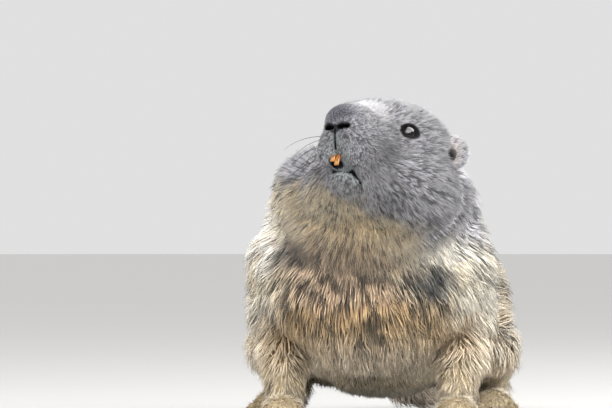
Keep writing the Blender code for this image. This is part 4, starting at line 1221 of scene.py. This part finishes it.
def makeIncisors():
    enamel, tree, shader = newMaterial("orangeEnamel", {"Roughness": 0.28})
    # Stains about 1.2 mm wide, drawn out along the tooth
    place = addNode(tree, "ShaderNodeTexCoord").outputs["Object"]
    stretched = addNode(tree, "ShaderNodeMapping", {"Vector": place, "Scale": (1.0, 1.0, 0.35)})
    stain = grain(tree, 1.2, 4.0, place=stretched.outputs["Vector"])
    tone = colourBand(tree, attributeOf(tree, "wear"), [(0.0, "#5e340f"), (0.6, "#985a18"), (1.0, "#bd8640")])
    mixColours(tree, 1.0, tone, spread(tree, stain, 0.55, 1.15, 0.35, 0.65), "MULTIPLY", shader)
    for word, (sideways, edge) in incisorPlan["teeth"].items():
        top, stations, ringSides = (incisorPlan[key] for key in ("top", "stations", "ringSides"))
        points, wear = [], []
        for step in range(stations):
            share = step / (stations - 1)
            z = top + (edge - top) * share
            y = 2.9 + 4.2 * (1 - share) ** 2 + 1.2 * max(0.0, share - 0.7) ** 2
            thick = incisorPlan["thickness"] / 2 * (1 - 0.55 * share ** 3)
            for k in range(ringSides):
                angle = 2 * pi * k / ringSides
                flat = [np.sign(c) * abs(c) ** incisorPlan["squareness"] for c in (cos(angle), sin(angle))]
                # The back of the tooth is worn off at a slant
                lift = 1.3 * max(0.0, flat[1]) * share ** 4
                points.append(onHead((sideways + incisorPlan["width"] / 2 * flat[0], y + thick * flat[1],
                                      z + lift)))
                wear.append(share)
        faces = ringFaces(stations, ringSides)
        for first in (0, (stations - 1) * ringSides):
            faces += [(first, first + k, first + k + 1) for k in range(1, ringSides - 1)]
        mesh = meshFromArrays("enamel_" + word, np.array(points), np.array(faces))
        turnOutwards(mesh)
        addNumbers(mesh, "wear", np.array(wear))
        tooth = addPiece("enamel_" + word, mesh, enamel)
        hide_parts("incisor_" + word)


makeIncisors()
print("teeth made")


# Floor, light and camera. The floor is matt, pale grey and a little mottled, so that shadows read softly
studio = {"floor": "#abaaa8", "world": "#f9f9f9", "worldStrength": 0.79, "overhead": 2.1, "frontPanel": 40.0,
          "leftPanel": 22.0, "eyePanel": 243.0, "distance": 4.0, "azimuth": 4.0, "frameWidth": 367.2,
          "aimSide": -40.2, "aimHeight": 137.0, "aimY": -100.0, "mottle": 1000 / 3}


def makeStudio():
    floorMaterial, tree, shader = newMaterial("paintedFloor", {"Roughness": 0.8})
    darker = (*(linearColour(studio["floor"]) * 0.97), 1)
    mixColours(tree, grain(tree, studio["mottle"]), opaque(studio["floor"]), darker, shader=shader)
    shape = bmesh.new()
    bmesh.ops.create_circle(shape, cap_ends=True, segments=64, radius=14.0)
    mesh = bpy.data.meshes.new("studioFloor")
    shape.to_mesh(mesh)
    shape.free()
    mesh.materials.append(floorMaterial)
    floor = inScene("studioFloor", mesh)
    world = bpy.data.worlds.new("paleStudio")
    world.use_nodes = True
    background = world.node_tree.nodes["Background"]
    background.inputs["Color"].default_value = opaque(studio["world"])
    background.inputs["Strength"].default_value = studio["worldStrength"]
    bpy.context.scene.world = world
    bpy.context.scene.view_settings.view_transform = "Standard"
    # A wide soft light from above and behind, weak panels in front and on the left of the picture, and one
    # that only gloss sees, for the wet eye
    target = Vector((0.02, -0.22, 0.16))
    for name, where, size in (("overhead", (-0.5, 0.25, 1.6), None),
                              ("frontPanel", (1.0, -1.3, 1.0), (2.0, 1.0)),
                              ("leftPanel", (-1.6, -1.0, 0.8), (1.2, 1.2)),
                              ("eyePanel", (1.11, -0.24, 1.37), (4.6, 1.5))):
        light = bpy.data.lights.new(name, "AREA" if size else "SUN")
        light.energy = studio[name]
        if size:
            light.shape = "RECTANGLE"
            light.size, light.size_y = size
        else:
            light.angle = radians(50)
        lamp = inScene(name, light)
        lamp.location = where
        lamp.rotation_euler = (target - Vector(where)).to_track_quat("-Z", "Y").to_euler()
        lamp.visible_camera = False
        lamp.visible_diffuse = name != "eyePanel"
    turn = radians(studio["azimuth"])
    right, forward = np.array([cos(turn), sin(turn), 0]), np.array([-sin(turn), cos(turn), 0])
    # The photo's middle is this far along the camera's right, at this height, in the plane of the head
    plane = np.array([0, studio["aimY"], studio["aimHeight"]])
    aim = plane + right * (studio["aimSide"] - plane @ right)
    aim = aim + forward * ((np.array([0, studio["aimY"], 0]) - aim) @ forward)
    camera = bpy.data.cameras.new("photoCamera")
    camera.sensor_width = 36
    camera.lens = 36 * studio["distance"] / (studio["frameWidth"] * mm)
    camera.clip_end = 60
    viewer = inScene("photoCamera", camera)
    viewer.location = Vector(toModel(aim)) - Vector(forward) * studio["distance"]
    viewer.rotation_euler = (pi / 2, 0, turn)
    bpy.context.scene.camera = viewer


makeStudio()
print("all pieces made")
